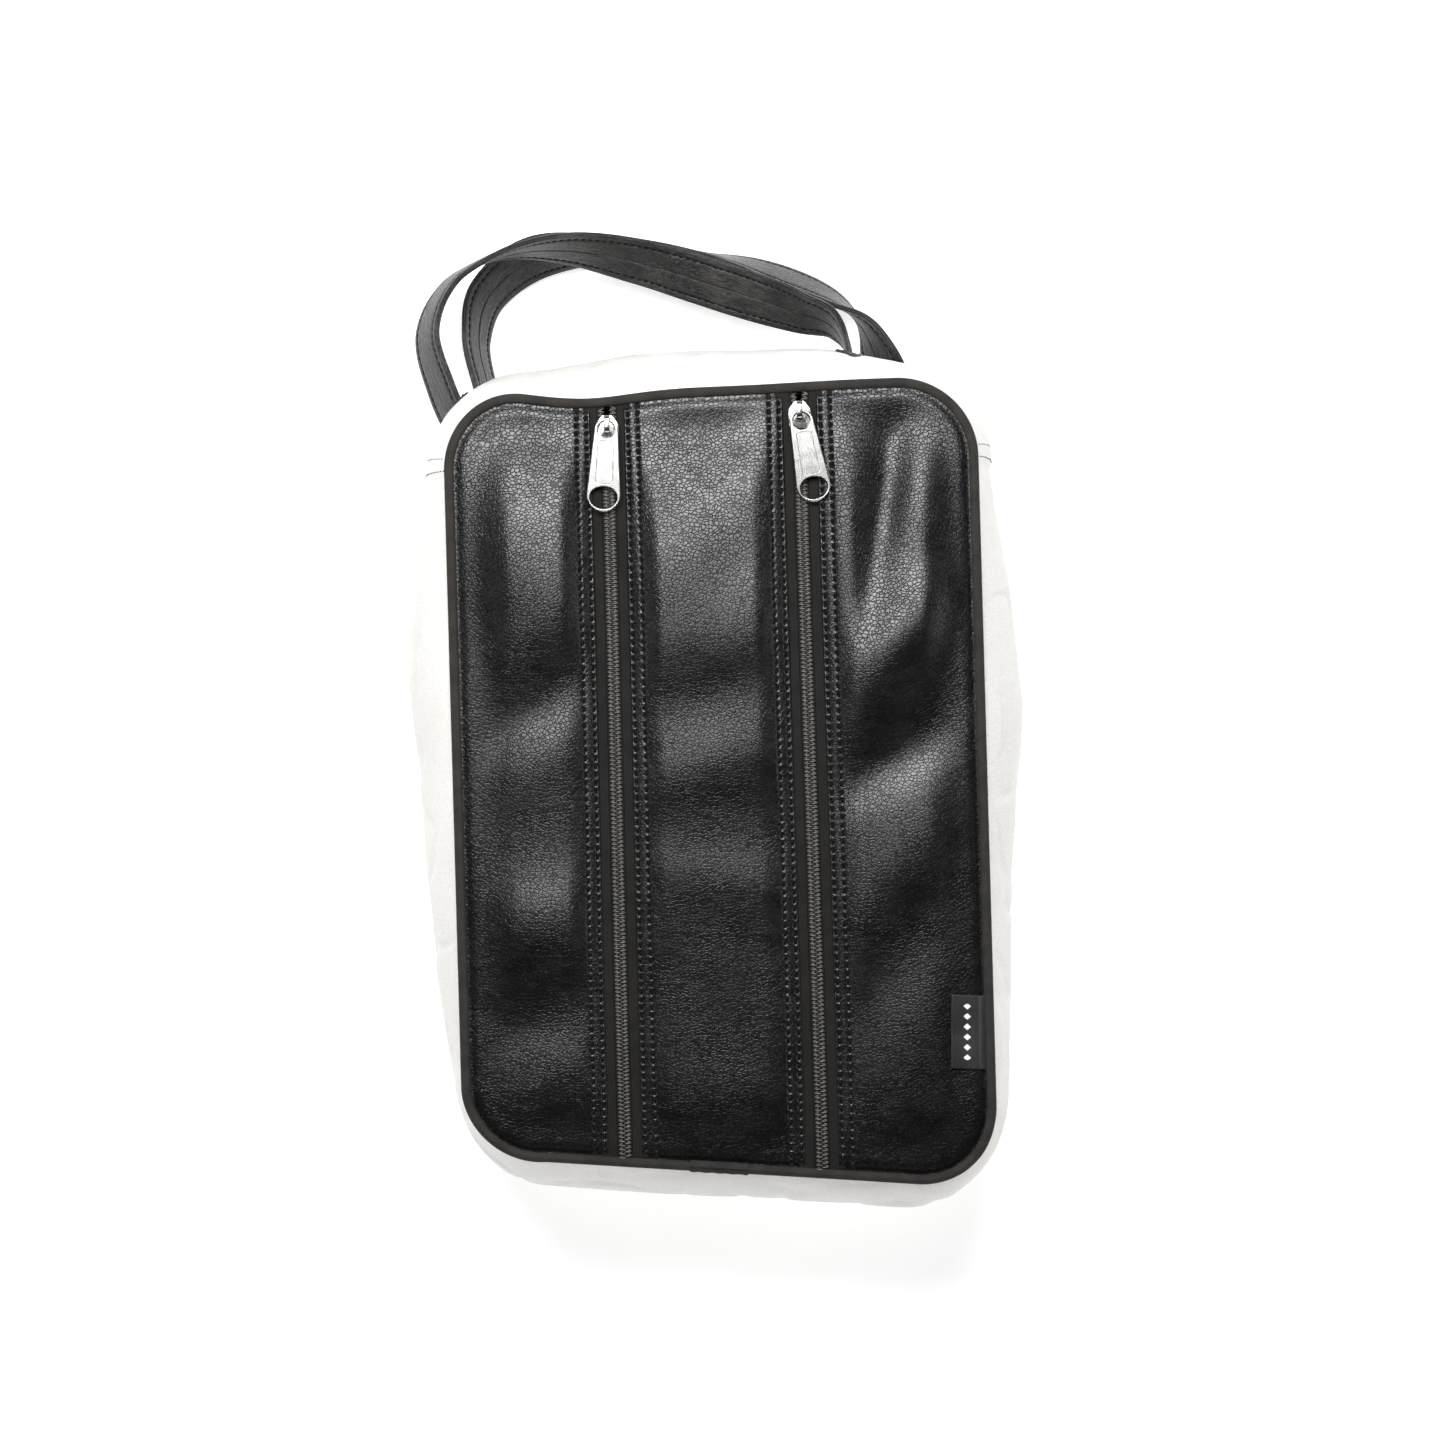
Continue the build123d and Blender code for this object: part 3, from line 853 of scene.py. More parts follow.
def strap_section():
    """Half-widths and heights round the strap: crowned, grooved along its stitching and its edges."""
    u = np.concatenate([np.linspace(-11.9, -9.9, 5), np.linspace(-9.6, -8.4, 7),
                        np.linspace(-7.6, -1.2, 7), np.linspace(-0.8, 0.8, 7),
                        np.linspace(1.2, 7.6, 7), np.linspace(8.4, 9.6, 7), np.linspace(9.9, 11.9, 5)]) * MM
    groove = bell((np.abs(u) - STRAP_ROW) / (0.55 * MM))
    crown = 1 - 0.22 * (u / STRAP_HALF_W) ** 2
    top = STRAP_HALF_T * crown + 0.15 * MM - 0.42 * MM * groove
    butt = bell(u / (0.34 * MM))
    bottom = -(STRAP_HALF_T * crown - 0.38 * MM * groove - 0.75 * MM * butt)
    lip = [(12.3, 0.95), (12.5, 0.55), (12.42, 0.2), (12.0, 0.0), (12.42, -0.2), (12.5, -0.55), (12.3, -0.95)]
    right = np.array(lip) * MM
    left = right[::-1] * [-1, 1]
    upper = np.column_stack([u, top])
    lower = np.column_stack([u, bottom])[::-1]
    return np.concatenate([upper, right, lower, left])


def strap_dents(run, section):
    """How far each point of the strap is pulled in by its stitches."""
    phase = (run / STRAP_PITCH) % 1.0
    near = np.minimum(phase, 1 - phase) * STRAP_PITCH
    pull_in = bell((near / (1.0 * MM)) ** 2)[:, None]
    row = bell((np.abs(section[:, 0]) - STRAP_ROW) / (0.6 * MM))[None, :]
    return -np.sign(section[:, 1])[None, :] * 0.30 * MM * pull_in * row


def handle(face):
    line, run = through(HANDLES[face], 0.55 * MM)
    _, across, out = strap_frame(line)
    section = strap_section()
    dents = strap_dents(run, section)
    ripple = fractal(line[:, :3], 30 * MM, 2.0 if face == "front" else 6.0, 2)[:, None] * 0.35 * MM
    heights = section[None, :, 1] + dents + ripple
    rings = line[:, None, :3] + section[None, :, :1] * across[:, None] + heights[..., None] * out[:, None]
    around = np.concatenate([[0], np.cumsum(np.linalg.norm(np.diff(section, axis=0), axis=1))])
    uv = np.stack(np.meshgrid(run, around, indexing="ij"), axis=-1)
    strap = add_grid(f"{face}_handle_skin", rings, uv=uv, wrap_cols=True, flip=True)
    cap_ends(strap, len(run), len(section))
    bend = [tuple(SWING[face] + reach) for reach in (BEND_BELOW, BEND_ABOVE)]
    keep(strap, f"{face}_handle", "handle_vinyl", f"{face}_handle_strap", f"{face}_handle_core",
         f"{face}_handle_root_left", f"{face}_handle_root_right", bend=bend)
    threads = []
    for side in (-1, 1):
        for row in (-STRAP_ROW, STRAP_ROW):
            height = side * (STRAP_HALF_T * (1 - 0.22 * (STRAP_ROW / STRAP_HALF_W) ** 2) - 0.30 * MM)
            middle = line[:, :3] + row * across + (height + ripple) * out
            threads.append((middle, side * out, run))
    sewn = stitches(f"{face}_handle_stitches", threads, STRAP_PITCH, 2.1 * MM, 0.34 * MM)
    keep(sewn, f"{face}_handle", "seam_binding", bend=bend)


ANCHOR_HALF_L = 17 * MM    # half the length of the patch round each strap's end
ANCHOR_HALF_W = 6.5 * MM


def anchors():
    """A stitched vinyl patch round each place where a strap goes into the top gusset."""
    count, levels = 900, 200
    shape = gusset_surface(GUSSET_COLUMNS, levels, LAP_LIFT)
    shape = np.concatenate([shape, shape[:, :1]], axis=1)
    columns = np.linspace(0, shape.shape[1] - 1, count)
    low_column = np.minimum(columns.astype(int), shape.shape[1] - 2)
    share = (columns - low_column)[None, :, None]
    shape = shape[:, low_column] * (1 - share) + shape[:, low_column + 1] * share
    top = shape[:, shape[levels // 2, :, 1] > SEAM_Y].reshape(-1, 3)
    for face, stations in HANDLES.items():
        line, _ = through(stations, 1.0 * MM)
        _, across, _ = strap_frame(line)
        for end, order in (("left", slice(None)), ("right", slice(None, None, -1))):
            ordered, wide = line[order], across[order]
            reach = [np.linalg.norm(top - p[:3], axis=1).min() for p in ordered[:60]]
            entry = int(np.argmin(reach))
            build_anchor(f"{face}_handle_anchor_{end}", ordered[entry, :3], wide[entry], top)


def build_anchor(name, middle, wide, surface):
    """One patch, laid on the surface points nearest to it, with its row of stitches."""
    turns = np.linspace(0, 2 * pi, 64, endpoint=False)
    oval = np.stack([ANCHOR_HALF_L * np.sign(np.cos(turns)) * np.abs(np.cos(turns)) ** 0.45,
                     ANCHOR_HALF_W * np.sign(np.sin(turns)) * np.abs(np.sin(turns)) ** 0.45], axis=-1)
    near = surface[np.argsort(np.linalg.norm(surface - middle, axis=1))[:900]]
    centre = near.mean(axis=0)
    _, _, axes = np.linalg.svd(near - centre, full_matrices=False)
    out = axes[2] if axes[2, 1] > 0 else -axes[2]
    u = unit(wide - np.dot(wide, out) * out)
    v = np.cross(out, u)

    def laid(scale, lift):
        flat = middle + scale * (oval[:, :1] * u + oval[:, 1:] * v)
        gaps = np.linalg.norm(surface[None] - flat[:, None], axis=2)
        nearest = np.argsort(gaps, axis=1)[:, :8]
        height = ((surface[nearest] - flat[:, None]) @ out).mean(axis=1)
        return flat + (height + lift)[:, None] * out

    rings = np.stack([laid(1.0, -0.5 * MM), laid(1.0, 0.4 * MM), laid(0.95, 0.7 * MM), laid(0.7, 0.8 * MM),
                      laid(0.4, 0.8 * MM), laid(0.04, 0.8 * MM)])
    uv = np.stack(np.broadcast_arrays(rings @ u, rings @ v), axis=-1)
    patch = add_grid(f"{name}_patch", rings, uv=uv, wrap_cols=True)
    keep(patch, "shell", "handle_vinyl")
    row = laid(0.84, 0.8 * MM)
    row = np.concatenate([row, row[:2]])
    run = np.concatenate([[0], np.cumsum(np.linalg.norm(np.diff(row, axis=0), axis=1))])
    outward = np.broadcast_to(out, row.shape)
    sewn = stitches(f"{name}_stitches", [(row, outward, run)], STRAP_PITCH, 2.1 * MM, 0.3 * MM)
    keep(sewn, "shell", "seam_binding")


def cap_ends(obj, rows, cols):
    """Closes a tube's two open ends."""
    mesh = obj.data
    start = len(mesh.polygons)
    loops = len(mesh.loops)
    mesh.polygons.add(2)
    mesh.loops.add(2 * cols)
    first = list(range(cols))[::-1]
    last = list(range((rows - 1) * cols, rows * cols))
    for i, vertex in enumerate(first + last):
        mesh.loops[loops + i].vertex_index = vertex
    for i in range(2):
        mesh.polygons[start + i].loop_start = loops + i * cols
    mesh.update(calc_edges=True)
    mesh.validate()

# ---------------------------------------------------------------- sewing


def stitches(name, lines, pitch, length, radius):
    """Short lengths of thread along each line. A line is (points, outward directions, run)."""
    bend = np.linspace(-1, 1, 7)
    taper = np.array([0.55, 0.9, 1, 1, 1, 0.9, 0.55])
    ring = np.linspace(0, 2 * pi, 6, endpoint=False)
    verts, faces, start = [], [], 0
    quads = grid_faces(7, 6, wrap_cols=True)
    for points, outward, run in lines:
        centres = np.arange(pitch, run[-1] - pitch / 2, pitch)
        s = centres[:, None] + bend[None, :] * length / 2
        place = np.stack([np.interp(s, run, points[:, k]) for k in range(3)], axis=-1)
        up = unit(np.stack([np.interp(s, run, outward[:, k]) for k in range(3)], axis=-1))
        place = place - up * (0.32 * MM * np.abs(bend) ** 3)[None, :, None]
        along = unit(np.gradient(place, axis=1))
        side = unit(np.cross(along, up))
        over = np.cross(side, along)
        wide = (radius * taper)[None, :, None, None]
        rings = place[:, :, None] + wide * (np.cos(ring)[None, None, :, None] * over[:, :, None]
                                            + np.sin(ring)[None, None, :, None] * side[:, :, None])
        count = len(centres)
        verts.append(rings.reshape(-1, 3))
        offsets = start + np.arange(count)[:, None, None] * 42
        faces.append((quads[None] + offsets).reshape(-1, 4))
        for a, b, c, d in ((0, 1, 2, 3), (0, 3, 4, 5)):
            near_end = np.array([[a, b, c, d]])
            far_end = np.array([[36 + d, 36 + c, 36 + b, 36 + a]])
            faces.append((near_end[None] + offsets).reshape(-1, 4))
            faces.append((far_end[None] + offsets).reshape(-1, 4))
        start += count * 42
    return add_mesh(name, np.concatenate(verts), np.concatenate(faces))


def panel_stitches():
    """Two rows of thread beside each slot."""
    y = np.arange(-46, 47) * STITCH_PITCH
    dense = np.linspace(y[0] - STITCH_PITCH, y[-1] + STITCH_PITCH, 900)
    groups = {"front_panel_left": [(SLOT["left"][0], -1)],
              "front_panel_centre": [(SLOT["left"][1], 1), (SLOT["right"][0], -1)],
              "front_panel_right": [(SLOT["right"][1], 1)]}
    for strip, edges in groups.items():
        lines = []
        for edge, side in edges:
            for row in STITCH_ROWS:
                x = np.full_like(dense, edge + side * row)
                z = front_height(x, dense) - 0.52 * MM
                points = settle(np.stack([x, dense, z], axis=-1))
                run = dense - dense[0]
                lines.append((points, np.broadcast_to([0.0, 0, 1], points.shape), run))
        thread = stitches(f"{strip}_stitches", lines, STITCH_PITCH, 2.2 * MM, 0.42 * MM)
        keep(thread, "shell", "seam_binding")


def gusset_stitches():
    """Two rows across each side, where the top strip laps over the long one."""
    shape = gusset_surface(GUSSET_COLUMNS, 240, LAP_LIFT)
    middle = seam_line(GUSSET_COLUMNS)[0]
    lines = []
    for side in (-1, 1):
        for offset in (2.4 * MM, -2.6 * MM):
            row_y = SEAM_Y + offset
            near = np.where(np.sign(middle[:, 0]) == side, np.abs(middle[:, 1] - row_y), 1)
            here = int(np.argmin(near))
            rising = middle[here + 1, 1] > middle[here, 1]
            beyond = here + (1 if rising == (row_y > middle[here, 1]) else -1)
            share = (row_y - middle[here, 1]) / (middle[beyond, 1] - middle[here, 1])
            points = shape[:, here] * (1 - share) + shape[:, beyond] * share
            run = np.concatenate([[0], np.cumsum(np.linalg.norm(np.diff(points, axis=0), axis=1))])
            outward = unit(np.cross([0.0, side, 0], tangents(points)))
            lines.append((points - 0.12 * MM * outward, outward, run))
    thread = stitches("gusset_stitches", lines, 3.4 * MM, 2.5 * MM, 0.32 * MM)
    keep(thread, "shell", "seam_binding")

# ---------------------------------------------------------------- label


def label():
    """A folded satin tab caught in the right-hand seam."""
    a, b = low("woven_label"), high("woven_label")
    u = np.linspace(0, 1, 26)
    v = np.linspace(0, 1, 60)
    uu, vv = np.meshgrid(u, v, indexing="ij")
    tilt = radians(4.5)
    wide, tall = b[0] - a[0] + 2.5 * MM, b[1] - a[1]
    from_hinge = (uu - 1) * wide
    from_middle = (vv - 0.5) * tall
    x = b[0] + 1.0 * MM + from_hinge * cos(tilt) + from_middle * sin(tilt) * 0.35
    y = (a[1] + b[1]) / 2 + from_middle * cos(tilt) - from_hinge * sin(tilt)
    z = front_height(np.minimum(x, HALF_W - 3 * MM), y) + 0.7 * MM
    lifted = (1 - uu) ** 1.5 * (0.7 + 0.8 * vv) * 1.1 * MM
    z = np.maximum(z + lifted, PANEL_Z + 0.5 * MM) + 0.25 * MM * np.sin(vv * 9) * (1 - uu)
    z = z - 0.5 * MM * smoothstep((uu - 0.85) / 0.15)
    uv = np.stack([uu * wide, vv * tall], axis=-1)
    tab = add_grid("woven_label_tab", np.stack([x, y, z], axis=-1), uv=uv)
    solid = tab.modifiers.new("two folded layers", "SOLIDIFY")
    solid.thickness = 0.7 * MM
    solid.offset = -1
    round_edges = tab.modifiers.new("soft fold", "BEVEL")
    round_edges.width = 0.22 * MM
    round_edges.segments = 2
    keep(tab, "shell", "satin_label", "woven_label")

# ---------------------------------------------------------------- materials


class Shader:
    """A material's node tree, with short ways to add and join nodes."""

    def __init__(self, name):
        self.material = bpy.data.materials.new(name)
        self.material.use_nodes = True
        self.tree = self.material.node_tree
        self.surface = self.tree.nodes["Principled BSDF"]

    def node(self, kind, inputs=(), **settings):
        node = self.tree.nodes.new(kind)
        for key, value in settings.items():
            setattr(node, key, value)
        for key, value in dict(inputs).items():
            self.put(node.inputs[key], value)
        return node

    def put(self, socket, value):
        if isinstance(value, bpy.types.NodeSocket):
            self.tree.links.new(value, socket)
        else:
            socket.default_value = value

    def math(self, operation, a, b=0.0, c=0.0, clamp=False):
        node = self.node("ShaderNodeMath", {0: a, 1: b, 2: c}, operation=operation)
        node.use_clamp = clamp
        return node.outputs[0]

    def ramp(self, value, low, high, out_low=0.0, out_high=1.0):
        node = self.node("ShaderNodeMapRange",
                         {0: value, 1: low, 2: high, 3: out_low, 4: out_high},
                         interpolation_type="SMOOTHSTEP")
        return node.outputs[0]

    def colour(self, factor, first, second):
        node = self.node("ShaderNodeMix", data_type="RGBA")
        self.put(node.inputs["Factor"], factor)
        node.inputs[6].default_value = (*first, 1)
        node.inputs[7].default_value = (*second, 1)
        return node.outputs[2]

    def place(self, stretch=(1, 1, 1)):
        coordinates = self.node("ShaderNodeTexCoord").outputs["Object"]
        return self.node("ShaderNodeMapping", {"Vector": coordinates, "Scale": stretch}).outputs[0]

    def noise(self, vector, size, detail=2.0, distortion=0.0):
        node = self.node("ShaderNodeTexNoise", {"Vector": vector, "Scale": 1 / size, "Detail": detail,
                                                "Distortion": distortion})
        return node.outputs["Fac"]

    def bump(self, height, distance, strength=1.0, normal=None):
        node = self.node("ShaderNodeBump", {"Height": height, "Distance": distance, "Strength": strength})
        if normal is not None:
            self.put(node.inputs["Normal"], normal)
        return node.outputs[0]

    def finish(self, **sockets):
        for key, value in sockets.items():
            self.put(self.surface.inputs[key.replace("_", " ")], value)
        return self.material


def pebbled(name, dark, light, rough, pebble, depth, crease=0.55, stretch=(1, 1, 1)):
    """Embossed vinyl: rounded pebbles of uneven size with fine creases between them, with painted shade in
    the creases.
    """
    s = Shader(name)
    flat = s.place(stretch)
    waver = s.node("ShaderNodeTexNoise", {"Vector": flat, "Scale": 1 / (2.6 * pebble), "Detail": 1.0})
    nudge = s.node("ShaderNodeVectorMath", {0: waver.outputs["Color"], 1: (0.5, 0.5, 0.5)},
                   operation="SUBTRACT").outputs[0]
    moved = s.node("ShaderNodeVectorMath", {0: nudge, "Scale": 1.3 * pebble}, operation="SCALE").outputs[0]
    where = s.node("ShaderNodeVectorMath", {0: flat, 1: moved}, operation="ADD").outputs[0]
    edges = s.node("ShaderNodeTexVoronoi", {"Vector": where, "Scale": 1 / pebble},
                   feature="DISTANCE_TO_EDGE").outputs["Distance"]
    cells = s.node("ShaderNodeTexVoronoi", {"Vector": where, "Scale": 1 / pebble}, feature="F1")
    dome = s.math("SUBTRACT", 1.0, s.math("MULTIPLY", cells.outputs["Distance"], cells.outputs["Distance"]))
    gap = s.ramp(edges, 0.0, 0.17)
    patchy = s.ramp(s.noise(flat, 26 * MM, 3.0), 0.3, 0.7, 0.62, 1.0)
    fine = s.noise(flat, 0.45 * MM, 2.0)
    height = s.math("MULTIPLY", s.math("ADD", s.math("MULTIPLY", gap, 0.7), s.math("MULTIPLY", dome, 0.40)),
                    patchy)
    height = s.math("ADD", height, s.math("MULTIPLY", fine, 0.05))
    wrinkle = s.ramp(s.noise(flat, 7 * MM, 4.0, 0.6), 0.35, 0.75)
    height = s.math("ADD", height, s.math("MULTIPLY", wrinkle, 0.10))
    normal = s.bump(height, depth)
    # The base colour is darker in the creases between pebbles, which is painted shade, and varies in large
    # random patches.
    crease_shade_and_tone = s.math("MULTIPLY", s.ramp(gap, 0.0, 1.0, crease, 1.0),
                  s.ramp(s.noise(flat, 45 * MM, 3.0), 0.3, 0.7, 0.85, 1.0))
    base = s.colour(crease_shade_and_tone, dark, light)
    roughness = s.math("ADD", s.ramp(gap, 0.0, 1.0, 0.06, 0.0),
                       s.ramp(s.noise(flat, 12 * MM, 4.0), 0.3, 0.7, rough - 0.03, rough + 0.05))
    # The lower specular level in the creases darkens them as well: more painted shade.
    return s.finish(Base_Color=base, Roughness=roughness, Normal=normal,
                    Specular_IOR_Level=s.ramp(gap, 0.0, 1.0, 0.22, 0.5))


def strap_vinyl(name):
    """The handles' vinyl: fine grain drawn out along the strap, lighter where its streaks cross worn patches.
    """
    s = Shader(name)
    uv = s.node("ShaderNodeUVMap", uv_map="cloth").outputs[0]
    drawn = s.node("ShaderNodeMapping", {"Vector": uv, "Scale": (0.28, 1, 1)}).outputs[0]
    grain = s.noise(drawn, 0.55 * MM, 3.0)
    streak = s.noise(drawn, 2.2 * MM, 3.0, 0.4)
    pores = s.node("ShaderNodeTexVoronoi", {"Vector": drawn, "Scale": 1 / (0.8 * MM)},
                   feature="DISTANCE_TO_EDGE").outputs["Distance"]
    height = s.math("ADD", s.math("MULTIPLY", grain, 0.6), s.math("MULTIPLY", s.ramp(pores, 0, 0.25), 0.4))
    height = s.math("ADD", height, s.math("MULTIPLY", streak, 0.9))
    worn = s.ramp(s.noise(s.place(), 18 * MM, 3.0), 0.3, 0.75)
    base = s.colour(s.math("MULTIPLY", s.ramp(streak, 0.3, 0.7), worn), (0.004, 0.0038, 0.0036),
                    (0.034, 0.0320, 0.0302))
    roughness = s.ramp(streak, 0.25, 0.75, 0.34, 0.46)
    return s.finish(Base_Color=base, Roughness=roughness, Normal=s.bump(height, 0.30 * MM),
                    Sheen_Weight=0.06, Sheen_Roughness=0.5, Specular_IOR_Level=0.34)


def woven(name, dark, light, rough, thread, sheen=0.0, depth=0.10, uv=True, herringbone=0.0):
    """Twill: raised threads on a slant. herringbone is the width of each band, or 0."""
    s = Shader(name)
    if uv:
        vector = s.node("ShaderNodeUVMap", uv_map="cloth").outputs[0]
    else:
        vector = s.place()
    split = s.node("ShaderNodeSeparateXYZ", {0: vector})
    along, across = split.outputs["X"], split.outputs["Y"]
    if not uv:
        across = s.math("ADD", across, split.outputs["Z"])
    if herringbone:
        across = s.math("PINGPONG", across, herringbone)
    slant = s.math("MULTIPLY", s.math("ADD", along, across), 2 * pi / thread)
    rib = s.math("ADD", s.math("MULTIPLY", s.math("SINE", slant), 0.5), 0.5)
    cross = s.math("MULTIPLY", s.math("SUBTRACT", along, across), 2 * pi / thread)
    knots = s.math("ADD", s.math("MULTIPLY", s.math("SINE", cross), 0.5), 0.5)
    fuzz = s.noise(s.place(), 0.25 * MM, 2.0)
    height = s.math("ADD", s.math("MULTIPLY", rib, 0.8), s.math("MULTIPLY", knots, 0.3))
    height = s.math("ADD", height, s.math("MULTIPLY", fuzz, 0.25))
    uneven = s.ramp(s.noise(s.place(), 9 * MM, 3.0), 0.3, 0.7, 0.7, 1.0)
    # The base colour follows the weave's height, times an uneven random tone: painted shade between the
    # threads and a painted highlight on their raised tops.
    base = s.colour(s.math("MULTIPLY", height, uneven, clamp=True), dark, light)
    roughness = s.ramp(fuzz, 0.2, 0.8, rough - 0.06, rough + 0.08)
    return s.finish(Base_Color=base, Roughness=roughness, Normal=s.bump(height, depth * MM),
                    Sheen_Weight=sheen, Sheen_Roughness=0.4, Specular_IOR_Level=0.15)


def polished_metal(name):
    """Nickel plate with tumbling marks and faint smudges."""
    s = Shader(name)
    where = s.place()
    smudge = s.noise(where, 5 * MM, 4.0, 0.8)
    drawn = s.place((6, 0.6, 6))
    scratches = s.noise(drawn, 0.8 * MM, 4.0)
    pits = s.noise(where, 0.5 * MM, 3.0)
    base = s.colour(s.ramp(smudge, 0.25, 0.75), (0.33, 0.326, 0.318), (0.37, 0.366, 0.358))
    roughness = s.math("ADD", s.ramp(smudge, 0.3, 0.7, 0.20, 0.215), s.ramp(scratches, 0.5, 0.8, 0.0, 0.06))
    height = s.math("ADD", s.math("MULTIPLY", pits, 0.5), s.math("MULTIPLY", scratches, 0.5))
    return s.finish(Base_Color=base, Metallic=1.0, Roughness=roughness, Normal=s.bump(height, 0.003 * MM))


def moulded_nylon(name):
    s = Shader(name)
    where = s.place()
    rub = s.noise(where, 1.4 * MM, 3.0)
    base = s.colour(s.ramp(rub, 0.3, 0.7), (0.055, 0.053, 0.050), (0.105, 0.101, 0.096))
    roughness = s.ramp(rub, 0.25, 0.75, 0.26, 0.36)
    return s.finish(Base_Color=base, Roughness=roughness, Normal=s.bump(s.noise(where, 0.3 * MM), 0.03 * MM))


def satin(name):
    """The tab: closely woven satin with a small plain row of lozenges down its middle."""
    s = Shader(name)
    split = s.node("ShaderNodeSeparateXYZ", {0: s.node("ShaderNodeUVMap", uv_map="cloth").outputs[0]})
    across, along = split.outputs["X"], split.outputs["Y"]
    ribs = s.math("SINE", s.math("MULTIPLY", along, 2 * pi / (0.45 * MM)))
    floats = s.math("SINE", s.math("MULTIPLY", across, 2 * pi / (0.35 * MM)))
    height = s.math("ADD", s.math("MULTIPLY", ribs, 0.4), s.math("MULTIPLY", floats, 0.3))
    step = 4.6 * MM
    from_middle = s.math("ABSOLUTE", s.math("SUBTRACT", across, 7.0 * MM))
    place = s.math("PINGPONG", s.math("SUBTRACT", along, 5.0 * MM), step / 2)
    lozenge = s.math("ADD", s.math("DIVIDE", from_middle, 1.7 * MM), s.math("DIVIDE", place, 1.5 * MM))
    inside = s.math("LESS_THAN", lozenge, 1.0)
    in_length = s.math("MULTIPLY", s.math("GREATER_THAN", along, 4.0 * MM),
                       s.math("LESS_THAN", along, 29.0 * MM))
    mark = s.math("MULTIPLY", inside, in_length)
    shade = s.ramp(s.noise(s.place(), 4 * MM, 3.0), 0.3, 0.7, 0.0, 0.3)
    ground = s.colour(shade, (0.0012, 0.0012, 0.0016), (0.006, 0.006, 0.007))
    mixed = s.node("ShaderNodeMix", data_type="RGBA")
    s.put(mixed.inputs["Factor"], mark)
    s.put(mixed.inputs[6], ground)
    mixed.inputs[7].default_value = (0.78, 0.78, 0.77, 1)
    height = s.math("ADD", height, s.math("MULTIPLY", mark, 0.8))
    roughness = s.ramp(height, -0.7, 0.7, 0.34, 0.5)
    return s.finish(Base_Color=mixed.outputs[2], Roughness=roughness, Normal=s.bump(height, 0.05 * MM),
                    Sheen_Weight=0.2)


def sewing_thread(name):
    """Twisted black polyester thread."""
    s = Shader(name)
    where = s.place()
    twist = s.noise(where, 0.35 * MM, 2.0)
    base = s.colour(twist, (0.0004, 0.0004, 0.0004), (0.002, 0.002, 0.002))
    return s.finish(Base_Color=base, Roughness=s.ramp(twist, 0.2, 0.8, 0.75, 0.95),
                    Normal=s.bump(twist, 0.06 * MM), Specular_IOR_Level=0.2)


def build_materials():
    # The crease argument sets how light the painted shade in the pebble creases is: 0.55 unless given, 0.7 on
    # the white vinyl.
    black = pebbled("black_vinyl_grain", (0.0006, 0.0006, 0.0009), (0.0026, 0.0026, 0.0030), 0.33,
                    1.65 * MM, 0.085 * MM, stretch=(0.92, 1.12, 1.0))
    white = pebbled("white_vinyl_grain", (0.60, 0.588, 0.555), (0.78, 0.77, 0.745), 0.46, 1.85 * MM,
                    0.12 * MM, crease=0.7)
    looks = {
        "black_vinyl": black,
        "white_vinyl": white,
        "handle_vinyl": strap_vinyl("handle_vinyl_grain"),
        # In each woven look the dark colour is the painted shade between the threads and the light colour the
        # painted highlight on their tops.
        "piping_braid": woven("piping_twill", (0.0012, 0.0012, 0.0012), (0.052, 0.047, 0.043), 0.75,
                              0.95 * MM, herringbone=1.3 * MM, depth=0.16),
        "filler_cord": woven("filler_cord_yarn", (0.30, 0.29, 0.27), (0.62, 0.60, 0.56), 0.8, 0.8 * MM,
                             uv=False, depth=0.14),
        "core_webbing": woven("core_webbing_weave", (0.02, 0.02, 0.02), (0.07, 0.07, 0.07), 0.8, 1.2 * MM,
                              uv=False, depth=0.2),
        "seam_binding": woven("binding_weave", (0.01, 0.01, 0.01), (0.04, 0.04, 0.04), 0.75, 0.8 * MM,
                              uv=False, depth=0.12),
        "divider_fabric": woven("lining_weave", (0.02, 0.02, 0.022), (0.075, 0.075, 0.08), 0.7, 0.6 * MM,
                                uv=False, depth=0.08),
        "zip_tape": woven("zip_tape_herringbone", (0.0008, 0.0008, 0.0008), (0.021, 0.020, 0.018), 0.75,
                          0.95 * MM, herringbone=0.48 * MM, depth=0.14),
        "zip_coil": moulded_nylon("zip_coil_nylon"),
        "nickel": polished_metal("polished_nickel"),
        "satin_label": satin("label_satin"),
    }
    thread = sewing_thread("stitching_thread")
    for obj, slot in PIECES.values():
        obj.data.materials.clear()
        obj.data.materials.append(thread if obj.name.endswith("_stitches") else looks[slot])

# ---------------------------------------------------------------- the whole bag


def dress():
    front_panel()
    back_panel()
    gusset()
    for face, z in (("front", Z_FRONT), ("back", Z_BACK)):
        piping(face, z)
    bindings()
    divider()
    zips()
    for side in ZIP_X:
        slider(side)
        pull(side)
    panel_stitches()
    gusset_stitches()
    label()
    for face in HANDLES:
        handle(face)
    anchors()
    declare_cloth()
    build_materials()


def declare_cloth():
    """Pairs each front panel strip and the top gusset with the stitches sewn to it; the pairs are not kept or
    used.
    """
    threads = {f"front_panel_{part}_skin": f"front_panel_{part}_stitches"
               for part in ("left", "centre", "right")}
    threads["top_gusset_skin"] = "gusset_stitches"


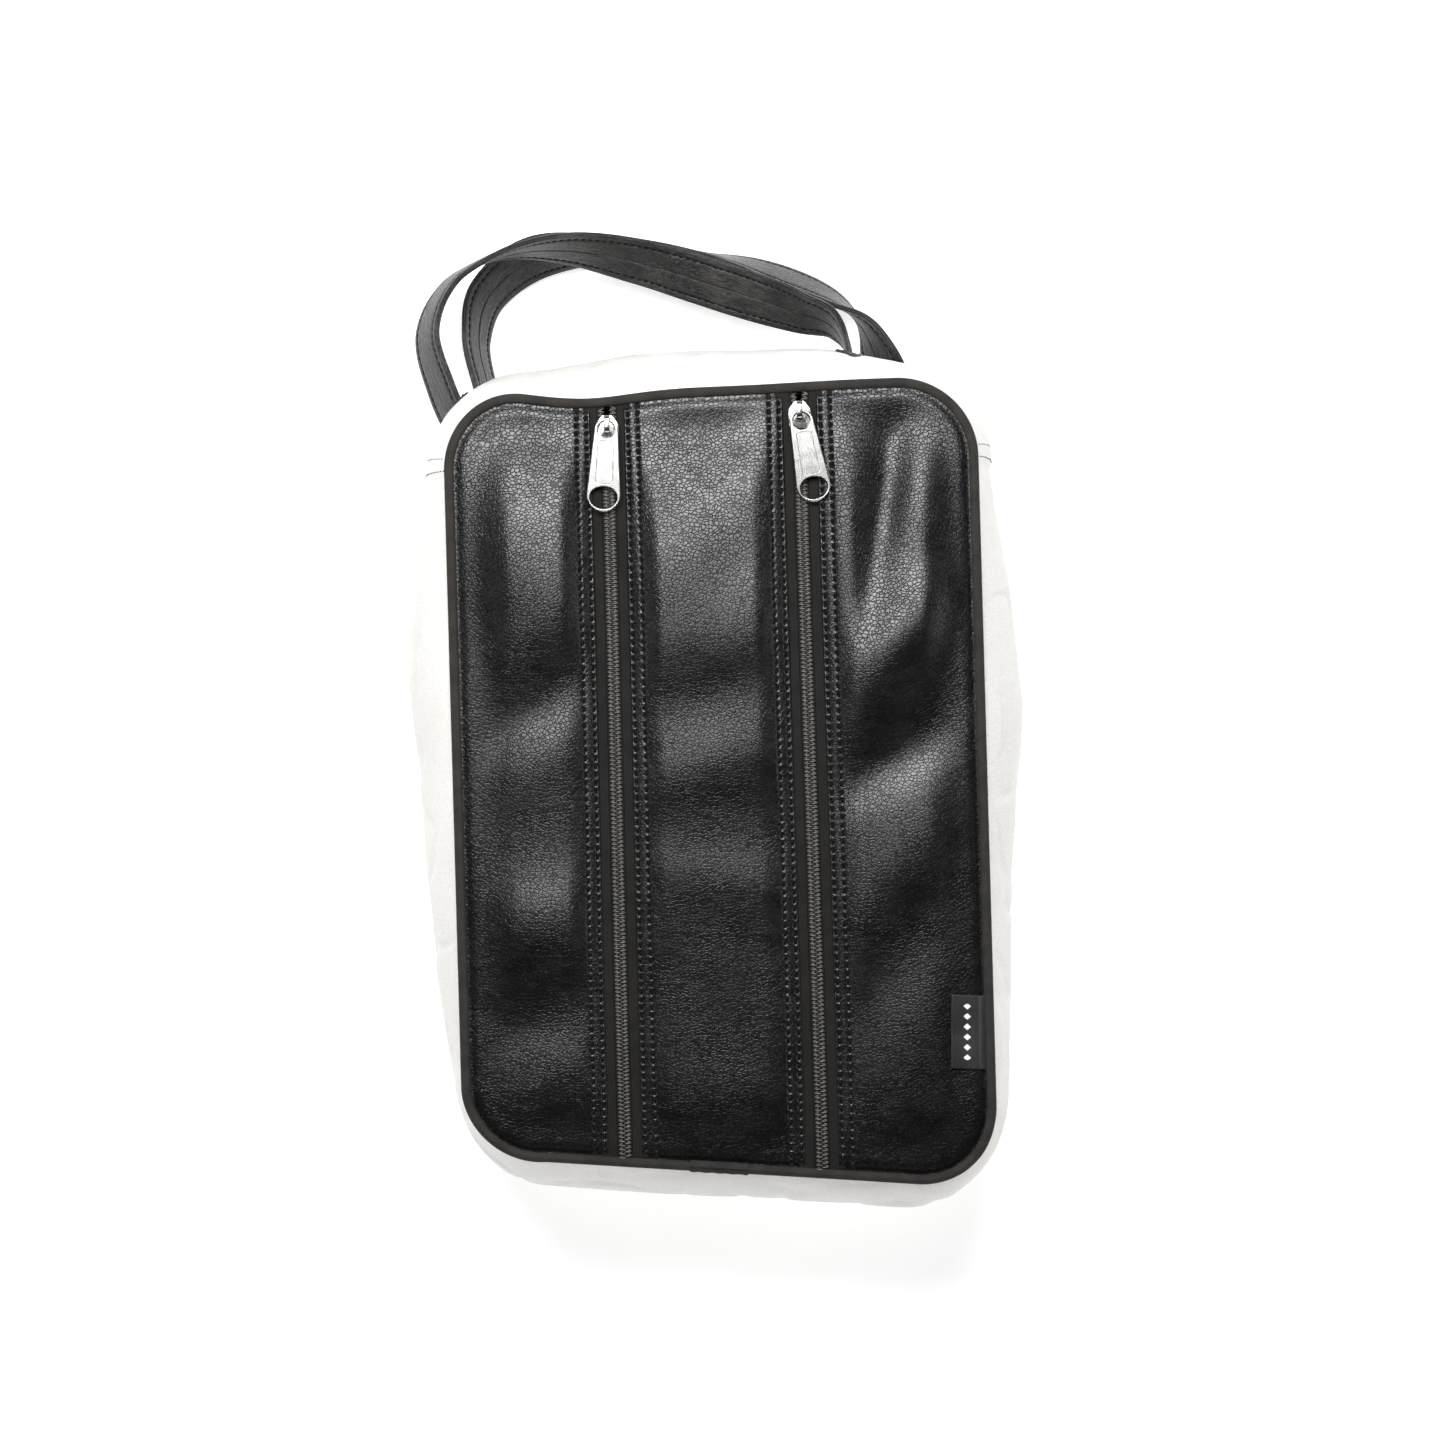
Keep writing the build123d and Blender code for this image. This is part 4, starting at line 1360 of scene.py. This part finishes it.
def stage():
    """A plain pale table under soft studio light, seen from straight above."""
    s = Shader("pale_table")
    mottle = s.noise(s.place(), 300 * MM, 3.0)
    base = s.colour(mottle, (0.80, 0.80, 0.80), (0.83, 0.83, 0.83))
    table = s.finish(Base_Color=base, Roughness=0.85, Normal=s.bump(s.noise(s.place(), 3 * MM), 0.02 * MM),
                     Emission_Color=(1, 1, 1, 1), Emission_Strength=0.62)
    corners = [(-4, -4, -0.0004), (4, -4, -0.0004), (4, 4, -0.0004), (-4, 4, -0.0004)]
    floor = add_mesh("table", corners, [(0, 1, 2, 3)])
    floor.data.materials.append(table)
    studio_surround()
    area_light("key", (-0.06, 0.40, 0.90), (0.0, 0.08, 0.10), (0.66, 0.30), 13.5)
    for name, x, y, power in (("left", -2.3, 0.3, 7), ("right", 2.3, 0.0, 10), ("near", 0, -2.4, 14)):
        area_light(f"{name}_panel", (x, y, 0.80), (0.0, 0.0, 0.0), (1.8, 1.0), power)


def studio_surround():
    """White walls under a dark ceiling."""
    world = bpy.data.worlds.new("studio")
    bpy.context.scene.world = world
    world.use_nodes = True
    tree = world.node_tree
    direction = tree.nodes.new("ShaderNodeTexCoord").outputs["Generated"]
    split = tree.nodes.new("ShaderNodeSeparateXYZ")
    tree.links.new(direction, split.inputs[0])
    ceiling = tree.nodes.new("ShaderNodeMapRange")
    ceiling.interpolation_type = "SMOOTHSTEP"
    for index, value in ((1, 0.30), (2, 0.62), (3, 0.48), (4, 0.012)):
        ceiling.inputs[index].default_value = value
    tree.links.new(split.outputs["Z"], ceiling.inputs[0])
    background = tree.nodes["Background"]
    background.inputs["Color"].default_value = (1, 1, 1, 1)
    tree.links.new(ceiling.outputs[0], background.inputs["Strength"])


def area_light(name, place, target, size, power):
    light = bpy.data.lights.new(name, "AREA")
    light.shape = "RECTANGLE"
    light.size, light.size_y = size
    light.energy = power
    obj = bpy.data.objects.new(name, light)
    obj.location = place
    obj.rotation_euler = (Vector(target) - Vector(place)).to_track_quat("-Z", "Y").to_euler()
    bpy.context.collection.objects.link(obj)


def camera():
    lens = bpy.data.cameras.new("camera")
    lens.sensor_width = 36
    lens.lens = 111.7
    obj = bpy.data.objects.new("camera", lens)
    obj.location = (0.0018, 0.0256, 2.116)
    obj.rotation_euler = (0, 0, radians(-1.6))
    bpy.context.collection.objects.link(obj)
    bpy.context.scene.camera = obj
    bpy.context.scene.view_settings.view_transform = "Standard"


camera()
dress()
stage()
